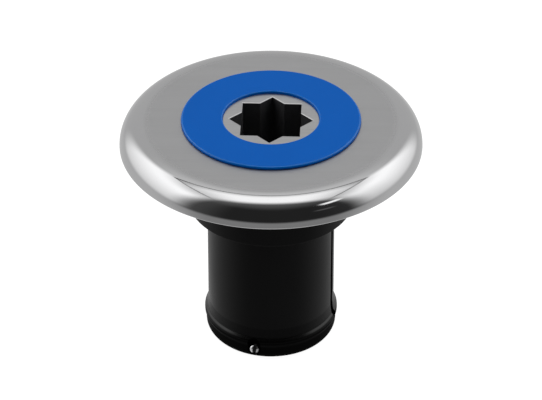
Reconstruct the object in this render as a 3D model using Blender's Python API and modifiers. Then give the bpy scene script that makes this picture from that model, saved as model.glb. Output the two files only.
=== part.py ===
"""Boat deck filler with a screw-in deck fill cap for a 38 mm hose. Metres, +Z up.

It stands on the end of its hose tail: the origin is the centre of that end face. The front,
where the chain anchor screw shows, faces -Y.
"""

import math

import bmesh
import bpy
from mathutils import Matrix, Vector

MM = 0.001
GAP = 0.3 * MM  # clearance between neighbouring pieces
TURN_STEPS = 40  # facets of a full turn
SMALL_TURN_STEPS = 20  # the same on screws and washers
ARC_STEPS = 4  # facets of a rounded edge in a turned outline

# Driving dimensions
TOP_Z = 76.0 * MM  # flat top of the trim flange
DECK_Z = 68.0 * MM  # deck surface, level with the flange's underside
COLLAR_BOTTOM_Z = 47.2 * MM
FLANGE_R = 46.0 * MM
FLAT_TOP_R = 37.9 * MM  # where the rim starts to round over
MOUTH_R = 27.6 * MM  # hole in the trim flange
COLLAR_R = 25.45 * MM
TAIL_R = 19.65 * MM  # at the collar; takes a hose of 38 mm bore
TAIL_LOW_R = 19.8 * MM  # the same above the bead
TAIL_BORE_R = 16.2 * MM
BEAD_R = 20.95 * MM
BEAD_CREST_Z = 6.1 * MM
BEAD_TOP_Z = 11.0 * MM
BEAD_SHOULDER = (0.3 * MM, 8.0 * MM)  # how far the bead has swelled, and at what height
TAIL_END_R = 20.5 * MM
TAIL_END_ROUND = 2.4 * MM
SOCKET_FLATS = 17.5 * MM  # each square of the star, for a winch handle
STAR_TWIST = math.radians(-2.3)
PITCH = 5.0 * MM  # cap thread
THREAD_R = 20.0 * MM  # root of the plug's thread
THREAD_H = 1.6 * MM
THREAD_CREST_HALF_W = 0.7 * MM
THREAD_FLANK_SLOPE = 0.29  # how much half the ridge widens per unit of depth
THREAD_CLEARANCE = 0.4 * MM
THREAD_OVERLAP = 0.5 * MM  # the ridge's foot lies this deep in the stem
THREAD_TURNS = 1.5
THREAD_BOTTOM_Z = 57.0 * MM
CHAIN_D = 3.2 * MM

# Trim flange: a pressed cover over the body flange
TRIM_WALL = 1.8 * MM
RIM_H = 7.6 * MM  # height of the rounded part of the rim
RIM_CHAMFER = 0.3 * MM
TRIM_INNER_R = FLANGE_R - TRIM_WALL
TRIM_UNDER_Z = TOP_Z - TRIM_WALL

# Filler body
BODY_FLANGE_R = TRIM_INNER_R - 1.2 * MM
BODY_FLANGE_TOP_Z = DECK_Z + 3.2 * MM
NECK_TOP_Z = 72.2 * MM
NECK_R = MOUTH_R - 0.45 * MM
RIB_INNER_R = NECK_R + 1.0 * MM
RIB_OUTER_R = RIB_INNER_R + 2.2 * MM
THREAD_BORE_R = THREAD_R + THREAD_CLEARANCE
THREAD_BORE_BOTTOM_Z = 51.0 * MM
SEAL_BORE_R = 23.1 * MM
SEAL_BORE_Z = 69.5 * MM
GRIP_GROOVE_DEPTH = 1.25 * MM
GRIP_GROOVE_LOW_Z = DECK_Z + 0.5 * MM
GRIP_GROOVE_HIGH_Z = BODY_FLANGE_TOP_Z - 0.5 * MM
GASKET_INNER_R = 27.5 * MM
GASKET_OUTER_R = 32.9 * MM
GASKET_T = 1.0 * MM
FIXING_COUNT = 4
FIXING_CIRCLE_R = 36.5 * MM
FIXING_HOLE_R = 2.25 * MM
COUNTERSINK_R = 4.4 * MM
VENT_ANGLE = math.radians(-16)  # the groove down the tail
VENT_WIDTH = 2.2 * MM
VENT_FLOOR_R = TAIL_R - 1.0 * MM
VENT_BOTTOM_Z = 5.6 * MM

# Cap
PLUG_HEAD_R = 27.2 * MM
PLUG_TOP_Z = TOP_Z - 1.3 * MM
PLUG_HEAD_BOTTOM_Z = NECK_TOP_Z + 0.4 * MM
PLUG_BOTTOM_Z = 54.0 * MM
BOSS_BOTTOM_Z = 51.0 * MM
BOSS_R = 4.0 * MM
SOCKET_FLOOR_Z = 57.2 * MM
SOCKET_WALL_R = 15.0 * MM
CORE_OUTER_R = 17.4 * MM
CORE_TOP_Z = 70.0 * MM
PLUG_RIBS = 4
PLUG_RIB_HALF_W = 0.75 * MM
PLUG_RIB_BOTTOM_Z = PLUG_BOTTOM_Z + 2 * MM
RING_INNER_R = 14.56 * MM
RING_OUTER_R = 27.25 * MM
RING_TOP_Z = TOP_Z + 1.05 * MM
RING_EDGE_R = 0.6 * MM
PLATE_R = RING_INNER_R - 0.2 * MM
PLATE_T = 0.5 * MM
PLATE_TOP_Z = TOP_Z + 0.2 * MM
PLATE_PAD_R = PLATE_R - 0.2 * MM  # raised middle of the plug, under the plate

# Chain swivel under the plug
SWIVEL_SHANK_R = 1.5 * MM
SWIVEL_HOLE_R = SWIVEL_SHANK_R + 0.35 * MM
SWIVEL_TIP_Z = BOSS_BOTTOM_Z + 4.8 * MM
SWIVEL_WASHER_T = 0.6 * MM
SWIVEL_HEAD_R = 3.2 * MM
SWIVEL_HEAD_H = 1.9 * MM
SWIVEL_CROSS = (2.2 * MM, 0.35 * MM)  # half length and half width of each arm
EYELET_T = 0.8 * MM
EYELET_R = 3.9 * MM
EYELET_TAB_HALF_W = 1.5 * MM
CHAIN_TOP = Vector((0.0, -7.0 * MM, 43.5 * MM))

# Chain anchor in the wall of the tail
ANCHOR_ANGLE = math.radians(-105)
ANCHOR_Z = 3.2 * MM
ANCHOR_SHANK_R = 1.0 * MM
ANCHOR_HOLE_R = ANCHOR_SHANK_R + GAP
ANCHOR_HEAD_R = 1.8 * MM
ANCHOR_HEAD_SEAT = 19.0 * MM  # distances from the tail's axis, out along the screw
ANCHOR_HEAD_TOP = 20.8 * MM
ANCHOR_WASHER_SEAT = 15.7 * MM
ANCHOR_WASHER_T = 0.5 * MM
ANCHOR_WASHER_R = 2.2 * MM
ANCHOR_EYELET_T = 0.7 * MM
ANCHOR_EYELET_R = 2.1 * MM
ANCHOR_TAB = (1.3 * MM, 1.6 * MM, 5.4 * MM)  # half height, near end and far end
ANCHOR_NUT_T = 1.4 * MM
ANCHOR_NUT_FLATS = 4.0 * MM
ANCHOR_SLOT_TILT = math.radians(12)
ANCHOR_SLOT_HALF_W = 0.25 * MM
ANCHOR_SLOT_DEPTH = 0.8 * MM
RECESS_FLOOR = 18.7 * MM
RECESS_HALF_W = 2.1 * MM
RECESS_TOP_Z = 7.8 * MM
SWIVEL_CLASP_R = 1.9 * MM
ANCHOR_CLASP_R = 1.7 * MM
ANCHOR_CLASP_ANGLE = ANCHOR_ANGLE + math.radians(18)
ANCHOR_CLASP_RADIUS = 13.5 * MM
ANCHOR_CLASP_L = 2.7 * MM
CHAIN_COIL_R = 13.6 * MM  # the slack lies round the inside of the tail's end
CHAIN_COIL_Z = CHAIN_D / 2 + 0.5 * MM


def clear_scene():
    for old in list(bpy.data.objects):
        bpy.data.objects.remove(old)


def make_collection(name):
    collection = bpy.data.collections.new(name)
    bpy.context.scene.collection.children.link(collection)
    return collection


def make_material(name, colour, roughness, metallic):
    material = bpy.data.materials.new(name)
    material.use_nodes = True
    shader = material.node_tree.nodes["Principled BSDF"]
    shader.inputs["Base Color"].default_value = (*colour, 1.0)
    shader.inputs["Roughness"].default_value = roughness
    shader.inputs["Metallic"].default_value = metallic
    material.diffuse_color = (*colour, 1.0)
    return material


def steel(name):
    return make_material(name, (0.62, 0.62, 0.63), 0.25, 1.0)


def black_nylon(name):
    return make_material(name, (0.012, 0.012, 0.013), 0.35, 0.0)


def blue_plastic(name):
    return make_material(name, (0.012, 0.10, 0.42), 0.3, 0.0)


def rubber(name):
    return make_material(name, (0.02, 0.02, 0.02), 0.8, 0.0)


def arc(centre_r, centre_z, size_r, size_z, start, end, steps=ARC_STEPS):
    """Points of an elliptical arc in a turned outline, from start to end degrees, both included."""
    points = []
    for i in range(steps + 1):
        angle = math.radians(start + (end - start) * i / steps)
        points.append((centre_r + size_r * math.cos(angle), centre_z + size_z * math.sin(angle)))
    return points


def link(obj, collection, material=None):
    collection.objects.link(obj)
    if material is not None:
        obj.data.materials.append(material)
    return obj


def shade(obj):
    obj.data.shade_smooth()
    obj.data.set_sharp_from_angle(angle=math.radians(30))


def turned(name, outline, collection, material=None, closed=True, steps=TURN_STEPS):
    """A solid turned about +Z. The outline's (radius, height) points run down its outer side."""
    mesh = bpy.data.meshes.new(name)
    bm = bmesh.new()
    verts = [bm.verts.new((r, 0.0, z)) for r, z in outline]
    for a, b in zip(verts, verts[1:]):
        bm.edges.new((a, b))
    if closed:
        bm.edges.new((verts[-1], verts[0]))
    bm.to_mesh(mesh)
    bm.free()
    obj = link(bpy.data.objects.new(name, mesh), collection, material)
    screw = obj.modifiers.new("turn", "SCREW")
    screw.steps = steps
    screw.render_steps = steps
    screw.use_merge_vertices = True
    screw.merge_threshold = 0.00001
    screw.use_smooth_shade = True
    return obj


def tube_outline(inner_r, outer_r, low_z, high_z):
    return [(inner_r, high_z), (outer_r, high_z), (outer_r, low_z), (inner_r, low_z)]


def o_ring(name, ring_r, cord_r, z, collection, material):
    return turned(name, arc(ring_r, z, cord_r, cord_r, 90, -225, 7), collection, material)


def from_bmesh(name, bm, collection, material=None):
    mesh = bpy.data.meshes.new(name)
    bm.to_mesh(mesh)
    bm.free()
    return link(bpy.data.objects.new(name, mesh), collection, material)


def box(name, low, high, collection, turn=0.0):
    bm = bmesh.new()
    bmesh.ops.create_cube(bm, size=1.0)
    size = Vector(high) - Vector(low)
    bmesh.ops.scale(bm, vec=size, verts=bm.verts)
    bmesh.ops.translate(bm, vec=(Vector(high) + Vector(low)) / 2, verts=bm.verts)
    bmesh.ops.rotate(bm, cent=(0.0, 0.0, 0.0), matrix=Matrix.Rotation(turn, 3, "Z"), verts=bm.verts)
    return from_bmesh(name, bm, collection)


def cone(name, low_r, high_r, low_z, high_z, collection, material=None, segments=16):
    bm = bmesh.new()
    bmesh.ops.create_cone(
        bm, cap_ends=True, segments=segments, radius1=low_r, radius2=high_r, depth=high_z - low_z
    )
    bmesh.ops.translate(bm, vec=(0.0, 0.0, (low_z + high_z) / 2), verts=bm.verts)
    return from_bmesh(name, bm, collection, material)


def combine(obj, cutter, operation):
    cutter.hide_render = True
    cutter.display_type = "WIRE"
    modifier = obj.modifiers.new(cutter.name, "BOOLEAN")
    modifier.operation = operation
    modifier.object = cutter
    modifier.solver = "EXACT"


def cut(obj, cutter):
    combine(obj, cutter, "DIFFERENCE")


def join(obj, cutter):
    combine(obj, cutter, "UNION")


def point_outwards(obj, angle, z):
    """Turns a piece built along +Z to lie along the tail's radius at that angle."""
    obj.rotation_euler = (0.0, math.pi / 2, angle)
    obj.location = (0.0, 0.0, z)


def thread(name, root_r, crest_r, clearance, start_z, turns, start_angle, cutters):
    """A helical ridge of the cap's thread, or with clearance, the tool that cuts its groove."""
    bm = bmesh.new()
    outline = []
    for r, side in ((root_r, -1), (crest_r, -1), (crest_r, 1), (root_r, 1)):
        depth = THREAD_R + THREAD_H - r
        half = THREAD_CREST_HALF_W + THREAD_FLANK_SLOPE * depth + clearance
        outline.append(bm.verts.new((r, 0.0, side * half)))
    bm.faces.new(outline)
    steps = round(TURN_STEPS * turns)
    bmesh.ops.spin(
        bm,
        geom=bm.verts[:] + bm.edges[:] + bm.faces[:],
        cent=(0.0, 0.0, 0.0),
        axis=(0.0, 0.0, 1.0),
        dvec=(0.0, 0.0, PITCH * turns / steps),
        angle=2 * math.pi * turns,
        steps=steps,
    )
    bmesh.ops.recalc_face_normals(bm, faces=bm.faces)
    obj = from_bmesh(name, bm, cutters)
    obj.location.z = start_z
    obj.rotation_euler.z = start_angle
    return obj


def cut_star(obj, flats, low_z, high_z, cutters):
    """Cuts the eight-pointed socket: two squares an eighth of a turn apart."""
    for name, angle in (("square", 0.0), ("diamond", math.pi / 4)):
        half = flats / 2
        prism = box(f"{obj.name}_{name}", (-half, -half, low_z), (half, half, high_z), cutters)
        prism.rotation_euler.z = STAR_TWIST + angle
        cut(obj, prism)


def make_trim_flange(parts):
    outline = [(MOUTH_R, TOP_Z)]
    rim_low_z = TOP_Z - RIM_H
    outline += arc(FLAT_TOP_R, rim_low_z, FLANGE_R - FLAT_TOP_R, RIM_H, 90, 0, 7)
    outline += [(FLANGE_R, DECK_Z + RIM_CHAMFER), (FLANGE_R - RIM_CHAMFER, DECK_Z)]
    outline += [(TRIM_INNER_R, DECK_Z)]
    inner_rim = (TRIM_INNER_R - FLAT_TOP_R, TRIM_UNDER_Z - rim_low_z)
    outline += arc(FLAT_TOP_R, rim_low_z, *inner_rim, 0, 90, 7)
    outline += [(MOUTH_R, TRIM_UNDER_Z)]
    return turned("trim_flange", outline, parts, steel("trim_steel"))


def tail_outline():
    """The hose tail's outer side below the collar: plain tube, hose bead and rounded end."""
    swell, shoulder_z = BEAD_SHOULDER
    crest = 0.1 * MM
    crest_half_h = 0.6 * MM
    outline = [(TAIL_R, COLLAR_BOTTOM_Z), (TAIL_LOW_R, BEAD_TOP_Z)]
    outline += [(TAIL_LOW_R + swell, shoulder_z)]
    outline += [(BEAD_R - crest, BEAD_CREST_Z + crest_half_h), (BEAD_R, BEAD_CREST_Z)]
    outline += [(BEAD_R - crest, BEAD_CREST_Z - crest_half_h)]
    outline += arc(TAIL_END_R - TAIL_END_ROUND, TAIL_END_ROUND, TAIL_END_ROUND, TAIL_END_ROUND, 0, -90)
    return outline


def make_filler_body(parts, cutters):
    groove_r = BODY_FLANGE_R - GRIP_GROOVE_DEPTH
    recess_z = DECK_Z + GASKET_T + GAP
    outline = [(SEAL_BORE_R, NECK_TOP_Z), (NECK_R, NECK_TOP_Z), (NECK_R, BODY_FLANGE_TOP_Z)]
    outline += [(RIB_INNER_R, BODY_FLANGE_TOP_Z), (RIB_INNER_R, TRIM_UNDER_Z - GAP)]
    outline += [(RIB_OUTER_R, TRIM_UNDER_Z - GAP), (RIB_OUTER_R, BODY_FLANGE_TOP_Z)]
    outline += [(BODY_FLANGE_R, BODY_FLANGE_TOP_Z), (BODY_FLANGE_R, GRIP_GROOVE_HIGH_Z)]
    outline += [(groove_r, GRIP_GROOVE_HIGH_Z), (groove_r, GRIP_GROOVE_LOW_Z)]
    outline += [(BODY_FLANGE_R, GRIP_GROOVE_LOW_Z), (BODY_FLANGE_R, DECK_Z)]
    outline += [(GASKET_OUTER_R + GAP, DECK_Z), (GASKET_OUTER_R + GAP, recess_z)]
    outline += [(GASKET_INNER_R - GAP, recess_z), (GASKET_INNER_R - GAP, DECK_Z)]
    outline += [(COLLAR_R, DECK_Z), (COLLAR_R, COLLAR_BOTTOM_Z)]
    outline += tail_outline()
    mouth_chamfer = 0.7 * MM
    outline += [(TAIL_BORE_R + mouth_chamfer, 0.0), (TAIL_BORE_R, mouth_chamfer)]
    outline += [(TAIL_BORE_R, THREAD_BORE_BOTTOM_Z), (THREAD_BORE_R, THREAD_BORE_BOTTOM_Z)]
    outline += [(THREAD_BORE_R, SEAL_BORE_Z), (SEAL_BORE_R, SEAL_BORE_Z)]
    body = turned("filler_body", outline, parts, black_nylon("body_nylon"))
    cut_thread_groove(body, cutters)
    cut_fixing_holes(body, cutters)
    cut_vent_groove(body, cutters)
    cut_anchor_recess(body, cutters)
    return body


def cut_thread_groove(body, cutters):
    lead_in = 20 / 360  # of a turn, below the ridge's start
    run_out = (SEAL_BORE_Z - THREAD_BOTTOM_Z) / PITCH + 0.45  # up past the seal bore's floor
    groove = thread(
        "thread_groove",
        THREAD_BORE_R - THREAD_OVERLAP,
        THREAD_R + THREAD_H + THREAD_CLEARANCE,
        THREAD_CLEARANCE,
        THREAD_BOTTOM_Z - PITCH * lead_in,
        run_out + lead_in,
        -2 * math.pi * lead_in,
        cutters,
    )
    cut(body, groove)


def cut_fixing_holes(body, cutters):
    """Countersunk holes for the deck screws, which the trim flange hides."""
    sink_depth = COUNTERSINK_R - FIXING_HOLE_R
    for i in range(FIXING_COUNT):
        angle = 2 * math.pi * (i + 0.5) / FIXING_COUNT
        place = (FIXING_CIRCLE_R * math.cos(angle), FIXING_CIRCLE_R * math.sin(angle), 0.0)
        low_z = DECK_Z - MM
        shank = cone(f"fixing_hole_{i + 1}", FIXING_HOLE_R, FIXING_HOLE_R, low_z, TOP_Z, cutters)
        low_z = BODY_FLANGE_TOP_Z - sink_depth
        high_z = BODY_FLANGE_TOP_Z + GAP
        sink = cone(
            f"countersink_{i + 1}", FIXING_HOLE_R, COUNTERSINK_R + GAP, low_z, high_z, cutters
        )
        for cutter in (shank, sink):
            cutter.location = place
            cut(body, cutter)


def cut_vent_groove(body, cutters):
    low = (VENT_FLOOR_R, -VENT_WIDTH / 2, VENT_BOTTOM_Z)
    high = (COLLAR_R, VENT_WIDTH / 2, COLLAR_BOTTOM_Z - 0.05 * MM)
    groove = box("vent_groove", low, high, cutters)
    groove.rotation_euler.z = VENT_ANGLE
    cut(body, groove)


def cut_anchor_recess(body, cutters):
    """A slot with two round ends for the anchor screw's head, and the hole for its shank."""
    round_z = RECESS_TOP_Z - RECESS_HALF_W
    low = (RECESS_FLOOR, -RECESS_HALF_W, ANCHOR_Z)
    high = (COLLAR_R, RECESS_HALF_W, round_z)
    slot = box("recess_slot", low, high, cutters)
    slot.rotation_euler.z = ANCHOR_ANGLE
    top = cone("recess_top", RECESS_HALF_W, RECESS_HALF_W, RECESS_FLOOR, COLLAR_R, cutters)
    point_outwards(top, ANCHOR_ANGLE, round_z)
    bottom = cone("recess_bottom", RECESS_HALF_W, RECESS_HALF_W, RECESS_FLOOR, COLLAR_R, cutters)
    point_outwards(bottom, ANCHOR_ANGLE, ANCHOR_Z)
    span = (TAIL_BORE_R - MM, TAIL_R)
    hole = cone("anchor_hole", ANCHOR_HOLE_R, ANCHOR_HOLE_R, *span, cutters)
    point_outwards(hole, ANCHOR_ANGLE, ANCHOR_Z)
    for cutter in (slot, top, bottom, hole):
        cut(body, cutter)


def make_trim_grip_ring(parts):
    ring_r = TRIM_INNER_R - 1.3 * MM
    z = (GRIP_GROOVE_LOW_Z + GRIP_GROOVE_HIGH_Z) / 2
    return o_ring("trim_grip_ring", ring_r, 0.8 * MM, z, parts, rubber("grip_rubber"))


def make_deck_gasket(parts):
    outline = tube_outline(GASKET_INNER_R, GASKET_OUTER_R, DECK_Z, DECK_Z + GASKET_T)
    return turned("deck_gasket", outline, parts, rubber("gasket_foam"))


def make_lid_plug(parts, cutters):
    chamfer = 0.6 * MM
    pad_z = PLATE_TOP_Z - PLATE_T - GAP
    outline = [(0.0, pad_z), (PLATE_PAD_R, pad_z), (PLATE_PAD_R, PLUG_TOP_Z)]
    outline += [(PLUG_HEAD_R, PLUG_TOP_Z), (PLUG_HEAD_R, PLUG_HEAD_BOTTOM_Z)]
    outline += [(THREAD_R, PLUG_HEAD_BOTTOM_Z), (THREAD_R, PLUG_BOTTOM_Z + chamfer)]
    outline += [(THREAD_R - chamfer, PLUG_BOTTOM_Z), (CORE_OUTER_R, PLUG_BOTTOM_Z)]
    outline += [(CORE_OUTER_R, CORE_TOP_Z), (SOCKET_WALL_R, CORE_TOP_Z)]
    outline += [(SOCKET_WALL_R, PLUG_BOTTOM_Z), (BOSS_R, PLUG_BOTTOM_Z)]
    outline += [(BOSS_R, BOSS_BOTTOM_Z), (0.0, BOSS_BOTTOM_Z)]
    plug = turned("lid_plug", outline, parts, black_nylon("plug_nylon"), closed=False)
    ridge = thread(
        "thread_ridge",
        THREAD_R - THREAD_OVERLAP,
        THREAD_R + THREAD_H,
        0.0,
        THREAD_BOTTOM_Z,
        THREAD_TURNS,
        0.0,
        cutters,
    )
    join(plug, ridge)
    for i in range(PLUG_RIBS):
        low = (SOCKET_WALL_R - GAP, -PLUG_RIB_HALF_W, PLUG_RIB_BOTTOM_Z)
        high = (CORE_OUTER_R + GAP, PLUG_RIB_HALF_W, CORE_TOP_Z + GAP)
        rib = box(f"plug_rib_{i + 1}", low, high, cutters)
        rib.rotation_euler.z = 2 * math.pi * (i + 0.5) / PLUG_RIBS
        join(plug, rib)
    cut_star(plug, SOCKET_FLATS + 0.2 * MM, SOCKET_FLOOR_Z, TOP_Z, cutters)
    low_z = BOSS_BOTTOM_Z - MM
    hole = cone(
        "swivel_hole", SWIVEL_HOLE_R, SWIVEL_HOLE_R, low_z, SWIVEL_TIP_Z + GAP, cutters
    )
    cut(plug, hole)
    return plug


def make_colour_ring(parts):
    low_z = PLUG_TOP_Z + GAP
    outline = arc(RING_INNER_R + RING_EDGE_R, RING_TOP_Z - RING_EDGE_R, RING_EDGE_R,
                  RING_EDGE_R, 180, 90, 3)
    outline += arc(RING_OUTER_R - RING_EDGE_R, RING_TOP_Z - RING_EDGE_R, RING_EDGE_R,
                   RING_EDGE_R, 90, 0, 3)
    outline += [(RING_OUTER_R, low_z), (RING_INNER_R, low_z)]
    return turned("colour_ring", outline, parts, blue_plastic("ring_blue"))


def make_star_plate(parts, cutters):
    low_z = PLATE_TOP_Z - PLATE_T
    outline = [(0.0, PLATE_TOP_Z), (PLATE_R, PLATE_TOP_Z), (PLATE_R, low_z), (0.0, low_z)]
    plate = turned("star_plate", outline, parts, steel("plate_steel"), closed=False)
    cut_star(plate, SOCKET_FLATS, SOCKET_FLOOR_Z, PLATE_TOP_Z + MM, cutters)
    return plate


def make_lid_o_ring(parts):
    cord_r = 1.2 * MM
    z = SEAL_BORE_Z + GAP + cord_r
    ring_r = THREAD_R + GAP + cord_r
    return o_ring("lid_o_ring", ring_r, cord_r, z, parts, rubber("seal_rubber"))


def swivel_levels():
    """Heights of the washer's top, the eyelet's top and the screw head's top, stacked downwards."""
    washer = BOSS_BOTTOM_Z - GAP
    eyelet = washer - SWIVEL_WASHER_T - GAP
    head = eyelet - EYELET_T - GAP
    return washer, eyelet, head


def make_swivel_screw(parts, cutters):
    head_z = swivel_levels()[2]
    low_z = head_z - SWIVEL_HEAD_H
    outline = [(0.0, SWIVEL_TIP_Z), (SWIVEL_SHANK_R, SWIVEL_TIP_Z), (SWIVEL_SHANK_R, head_z)]
    outline += [(SWIVEL_HEAD_R, head_z)]
    outline += arc(0.0, low_z + MM, SWIVEL_HEAD_R, MM, 0, -90)
    screw = turned(
        "swivel_screw", outline, parts, steel("swivel_steel"), closed=False, steps=SMALL_TURN_STEPS
    )
    for i in range(2):
        half_x, half_y = SWIVEL_CROSS[i], SWIVEL_CROSS[1 - i]
        low = (-half_x, -half_y, low_z - MM)
        high = (half_x, half_y, low_z + MM)
        cut(screw, box(f"swivel_cross_{i + 1}", low, high, cutters))
    return screw


def make_swivel_washer(parts):
    top_z = swivel_levels()[0]
    outline = tube_outline(SWIVEL_HOLE_R, BOSS_R - 0.2 * MM, top_z - SWIVEL_WASHER_T, top_z)
    material = steel("swivel_washer_steel")
    return turned("swivel_washer", outline, parts, material, steps=SMALL_TURN_STEPS)


def make_swivel_eyelet(parts, cutters):
    """A ring on the swivel screw with a tab and a closed clasp for the chain's end ball."""
    top_z = swivel_levels()[1]
    low_z = top_z - EYELET_T
    outline = tube_outline(SWIVEL_HOLE_R, EYELET_R, low_z, top_z)
    material = steel("swivel_eyelet_steel")
    eyelet = turned("swivel_eyelet", outline, parts, material, steps=SMALL_TURN_STEPS)
    low = (-EYELET_TAB_HALF_W, CHAIN_TOP.y, low_z)
    high = (EYELET_TAB_HALF_W, -EYELET_R + MM, top_z)
    join(eyelet, box("swivel_tab", low, high, cutters))
    span = (CHAIN_TOP.z + GAP, top_z + GAP / 2)
    clasp = cone("swivel_clasp", SWIVEL_CLASP_R, SWIVEL_CLASP_R, *span, cutters)
    clasp.location.y = CHAIN_TOP.y
    join(eyelet, clasp)
    return eyelet


def around_tail(radius, angle, z):
    return Vector((radius * math.cos(angle), radius * math.sin(angle), z))


def chain_route():
    """From the anchor round the inside of the tail's end, then up to the swivel."""
    mouth_angle = ANCHOR_CLASP_ANGLE + (ANCHOR_CLASP_L / 2 + 2 * GAP) / ANCHOR_CLASP_RADIUS
    route = [around_tail(ANCHOR_CLASP_RADIUS, mouth_angle, ANCHOR_Z)]
    for degrees in range(-62, 181, 22):
        route.append(around_tail(CHAIN_COIL_R, math.radians(degrees), CHAIN_COIL_Z))
    route += [
        Vector((-12.2, -4.2, 2.1)) * MM,
        Vector((-8.6, -6.9, 2.2)) * MM,
        Vector((-4.3, -7.6, 2.9)) * MM,
        Vector((-1.2, -7.4, 5.6)) * MM,
        Vector((-0.1, -7.1, 11.0)) * MM,
        Vector((0.2, -7.0, 20.0)) * MM,
        Vector((0.1, -7.0, 32.0)) * MM,
        CHAIN_TOP,
    ]
    return route


def smooth_route(points, spacing):
    """Points about spacing apart on a smooth curve through the given ones."""
    smooth = [points[0]]
    for i in range(len(points) - 1):
        before = points[max(i - 1, 0)]
        start, end = points[i], points[i + 1]
        after = points[min(i + 2, len(points) - 1)]
        steps = max(1, round((end - start).length / spacing))
        for k in range(1, steps + 1):
            t = k / steps
            pull = (end - before) * (t - 2 * t**2 + t**3) + (after - start) * (t**3 - t**2)
            smooth.append(start * (1 - 3 * t**2 + 2 * t**3) + end * (3 * t**2 - 2 * t**3) + pull / 2)
    return smooth


def make_retaining_chain(parts):
    points = smooth_route(chain_route(), CHAIN_D)
    curve = bpy.data.curves.new("retaining_chain", "CURVE")
    curve.dimensions = "3D"
    curve.bevel_depth = CHAIN_D / 2
    curve.bevel_resolution = 2
    curve.use_fill_caps = True
    spline = curve.splines.new("POLY")
    spline.points.add(len(points) - 1)
    for knot, point in zip(spline.points, points):
        knot.co = (*point, 1.0)
    chain = bpy.data.objects.new("retaining_chain", curve)
    return link(chain, parts, steel("chain_steel"))


def make_anchor_screw(parts, cutters):
    dome_h = ANCHOR_HEAD_TOP - ANCHOR_HEAD_SEAT - 0.5 * MM
    outline = arc(0.0, ANCHOR_HEAD_TOP - dome_h, ANCHOR_HEAD_R, dome_h, 90, 0)
    outline += [(ANCHOR_HEAD_R, ANCHOR_HEAD_SEAT), (ANCHOR_SHANK_R, ANCHOR_HEAD_SEAT)]
    tip = anchor_levels()[2] - ANCHOR_NUT_T - GAP
    outline += [(ANCHOR_SHANK_R, tip), (0.0, tip)]
    screw = turned(
        "anchor_screw", outline, parts, steel("anchor_steel"), closed=False, steps=SMALL_TURN_STEPS
    )
    point_outwards(screw, ANCHOR_ANGLE, ANCHOR_Z)
    low = (-ANCHOR_HEAD_R - GAP, -ANCHOR_SLOT_HALF_W, ANCHOR_HEAD_TOP - ANCHOR_SLOT_DEPTH)
    high = (ANCHOR_HEAD_R + GAP, ANCHOR_SLOT_HALF_W, ANCHOR_HEAD_TOP + GAP)
    slot = box("anchor_slot", low, high, cutters, turn=ANCHOR_SLOT_TILT)
    point_outwards(slot, ANCHOR_ANGLE, ANCHOR_Z)
    cut(screw, slot)
    return screw


def anchor_levels():
    """How far out the washer, the eyelet and the nut lie: the outer face of each."""
    eyelet = ANCHOR_WASHER_SEAT - ANCHOR_WASHER_T - GAP
    return ANCHOR_WASHER_SEAT, eyelet, eyelet - ANCHOR_EYELET_T - GAP


def make_anchor_washer(parts):
    high = anchor_levels()[0]
    outline = tube_outline(ANCHOR_HOLE_R, ANCHOR_WASHER_R, high - ANCHOR_WASHER_T, high)
    material = steel("anchor_washer_steel")
    washer = turned("anchor_washer", outline, parts, material, steps=SMALL_TURN_STEPS)
    point_outwards(washer, ANCHOR_ANGLE, ANCHOR_Z)
    return washer


def make_anchor_eyelet(parts, cutters):
    """A ring on the anchor screw's shank whose tab ends in the clasp for the chain's end ball."""
    high = anchor_levels()[1]
    low = high - ANCHOR_EYELET_T
    outline = tube_outline(ANCHOR_HOLE_R, ANCHOR_EYELET_R, low, high)
    material = steel("anchor_eyelet_steel")
    eyelet = turned("anchor_eyelet", outline, parts, material, steps=SMALL_TURN_STEPS)
    point_outwards(eyelet, ANCHOR_ANGLE, ANCHOR_Z)
    half_h, near, far = ANCHOR_TAB
    tab = box("anchor_tab", (-half_h, near, low), (half_h, far, high), cutters)
    point_outwards(tab, ANCHOR_ANGLE, ANCHOR_Z)
    join(eyelet, tab)
    half_l = ANCHOR_CLASP_L / 2
    clasp = cone("anchor_clasp", ANCHOR_CLASP_R, ANCHOR_CLASP_R, -half_l, half_l, cutters)
    clasp.rotation_euler = (-math.pi / 2, 0.0, ANCHOR_CLASP_ANGLE)
    clasp.location = around_tail(ANCHOR_CLASP_RADIUS, ANCHOR_CLASP_ANGLE, ANCHOR_Z)
    join(eyelet, clasp)
    return eyelet


def make_anchor_nut(parts, cutters):
    corner_r = ANCHOR_NUT_FLATS / 2 / math.cos(math.pi / 6)
    high = anchor_levels()[2]
    low = high - ANCHOR_NUT_T
    material = steel("anchor_nut_steel")
    nut = cone("anchor_nut", corner_r, corner_r, low, high, parts, material, segments=6)
    point_outwards(nut, ANCHOR_ANGLE, ANCHOR_Z)
    span = (low - MM, high + MM)
    hole = cone("nut_hole", ANCHOR_HOLE_R, ANCHOR_HOLE_R, *span, cutters)
    point_outwards(hole, ANCHOR_ANGLE, ANCHOR_Z)
    cut(nut, hole)
    return nut


def group_on_axis(name, pieces, parts):
    """An empty on the cap's axis that carries the pieces which move together."""
    empty = link(bpy.data.objects.new(name, None), parts)
    for piece in pieces:
        piece.parent = empty
    return empty


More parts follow.
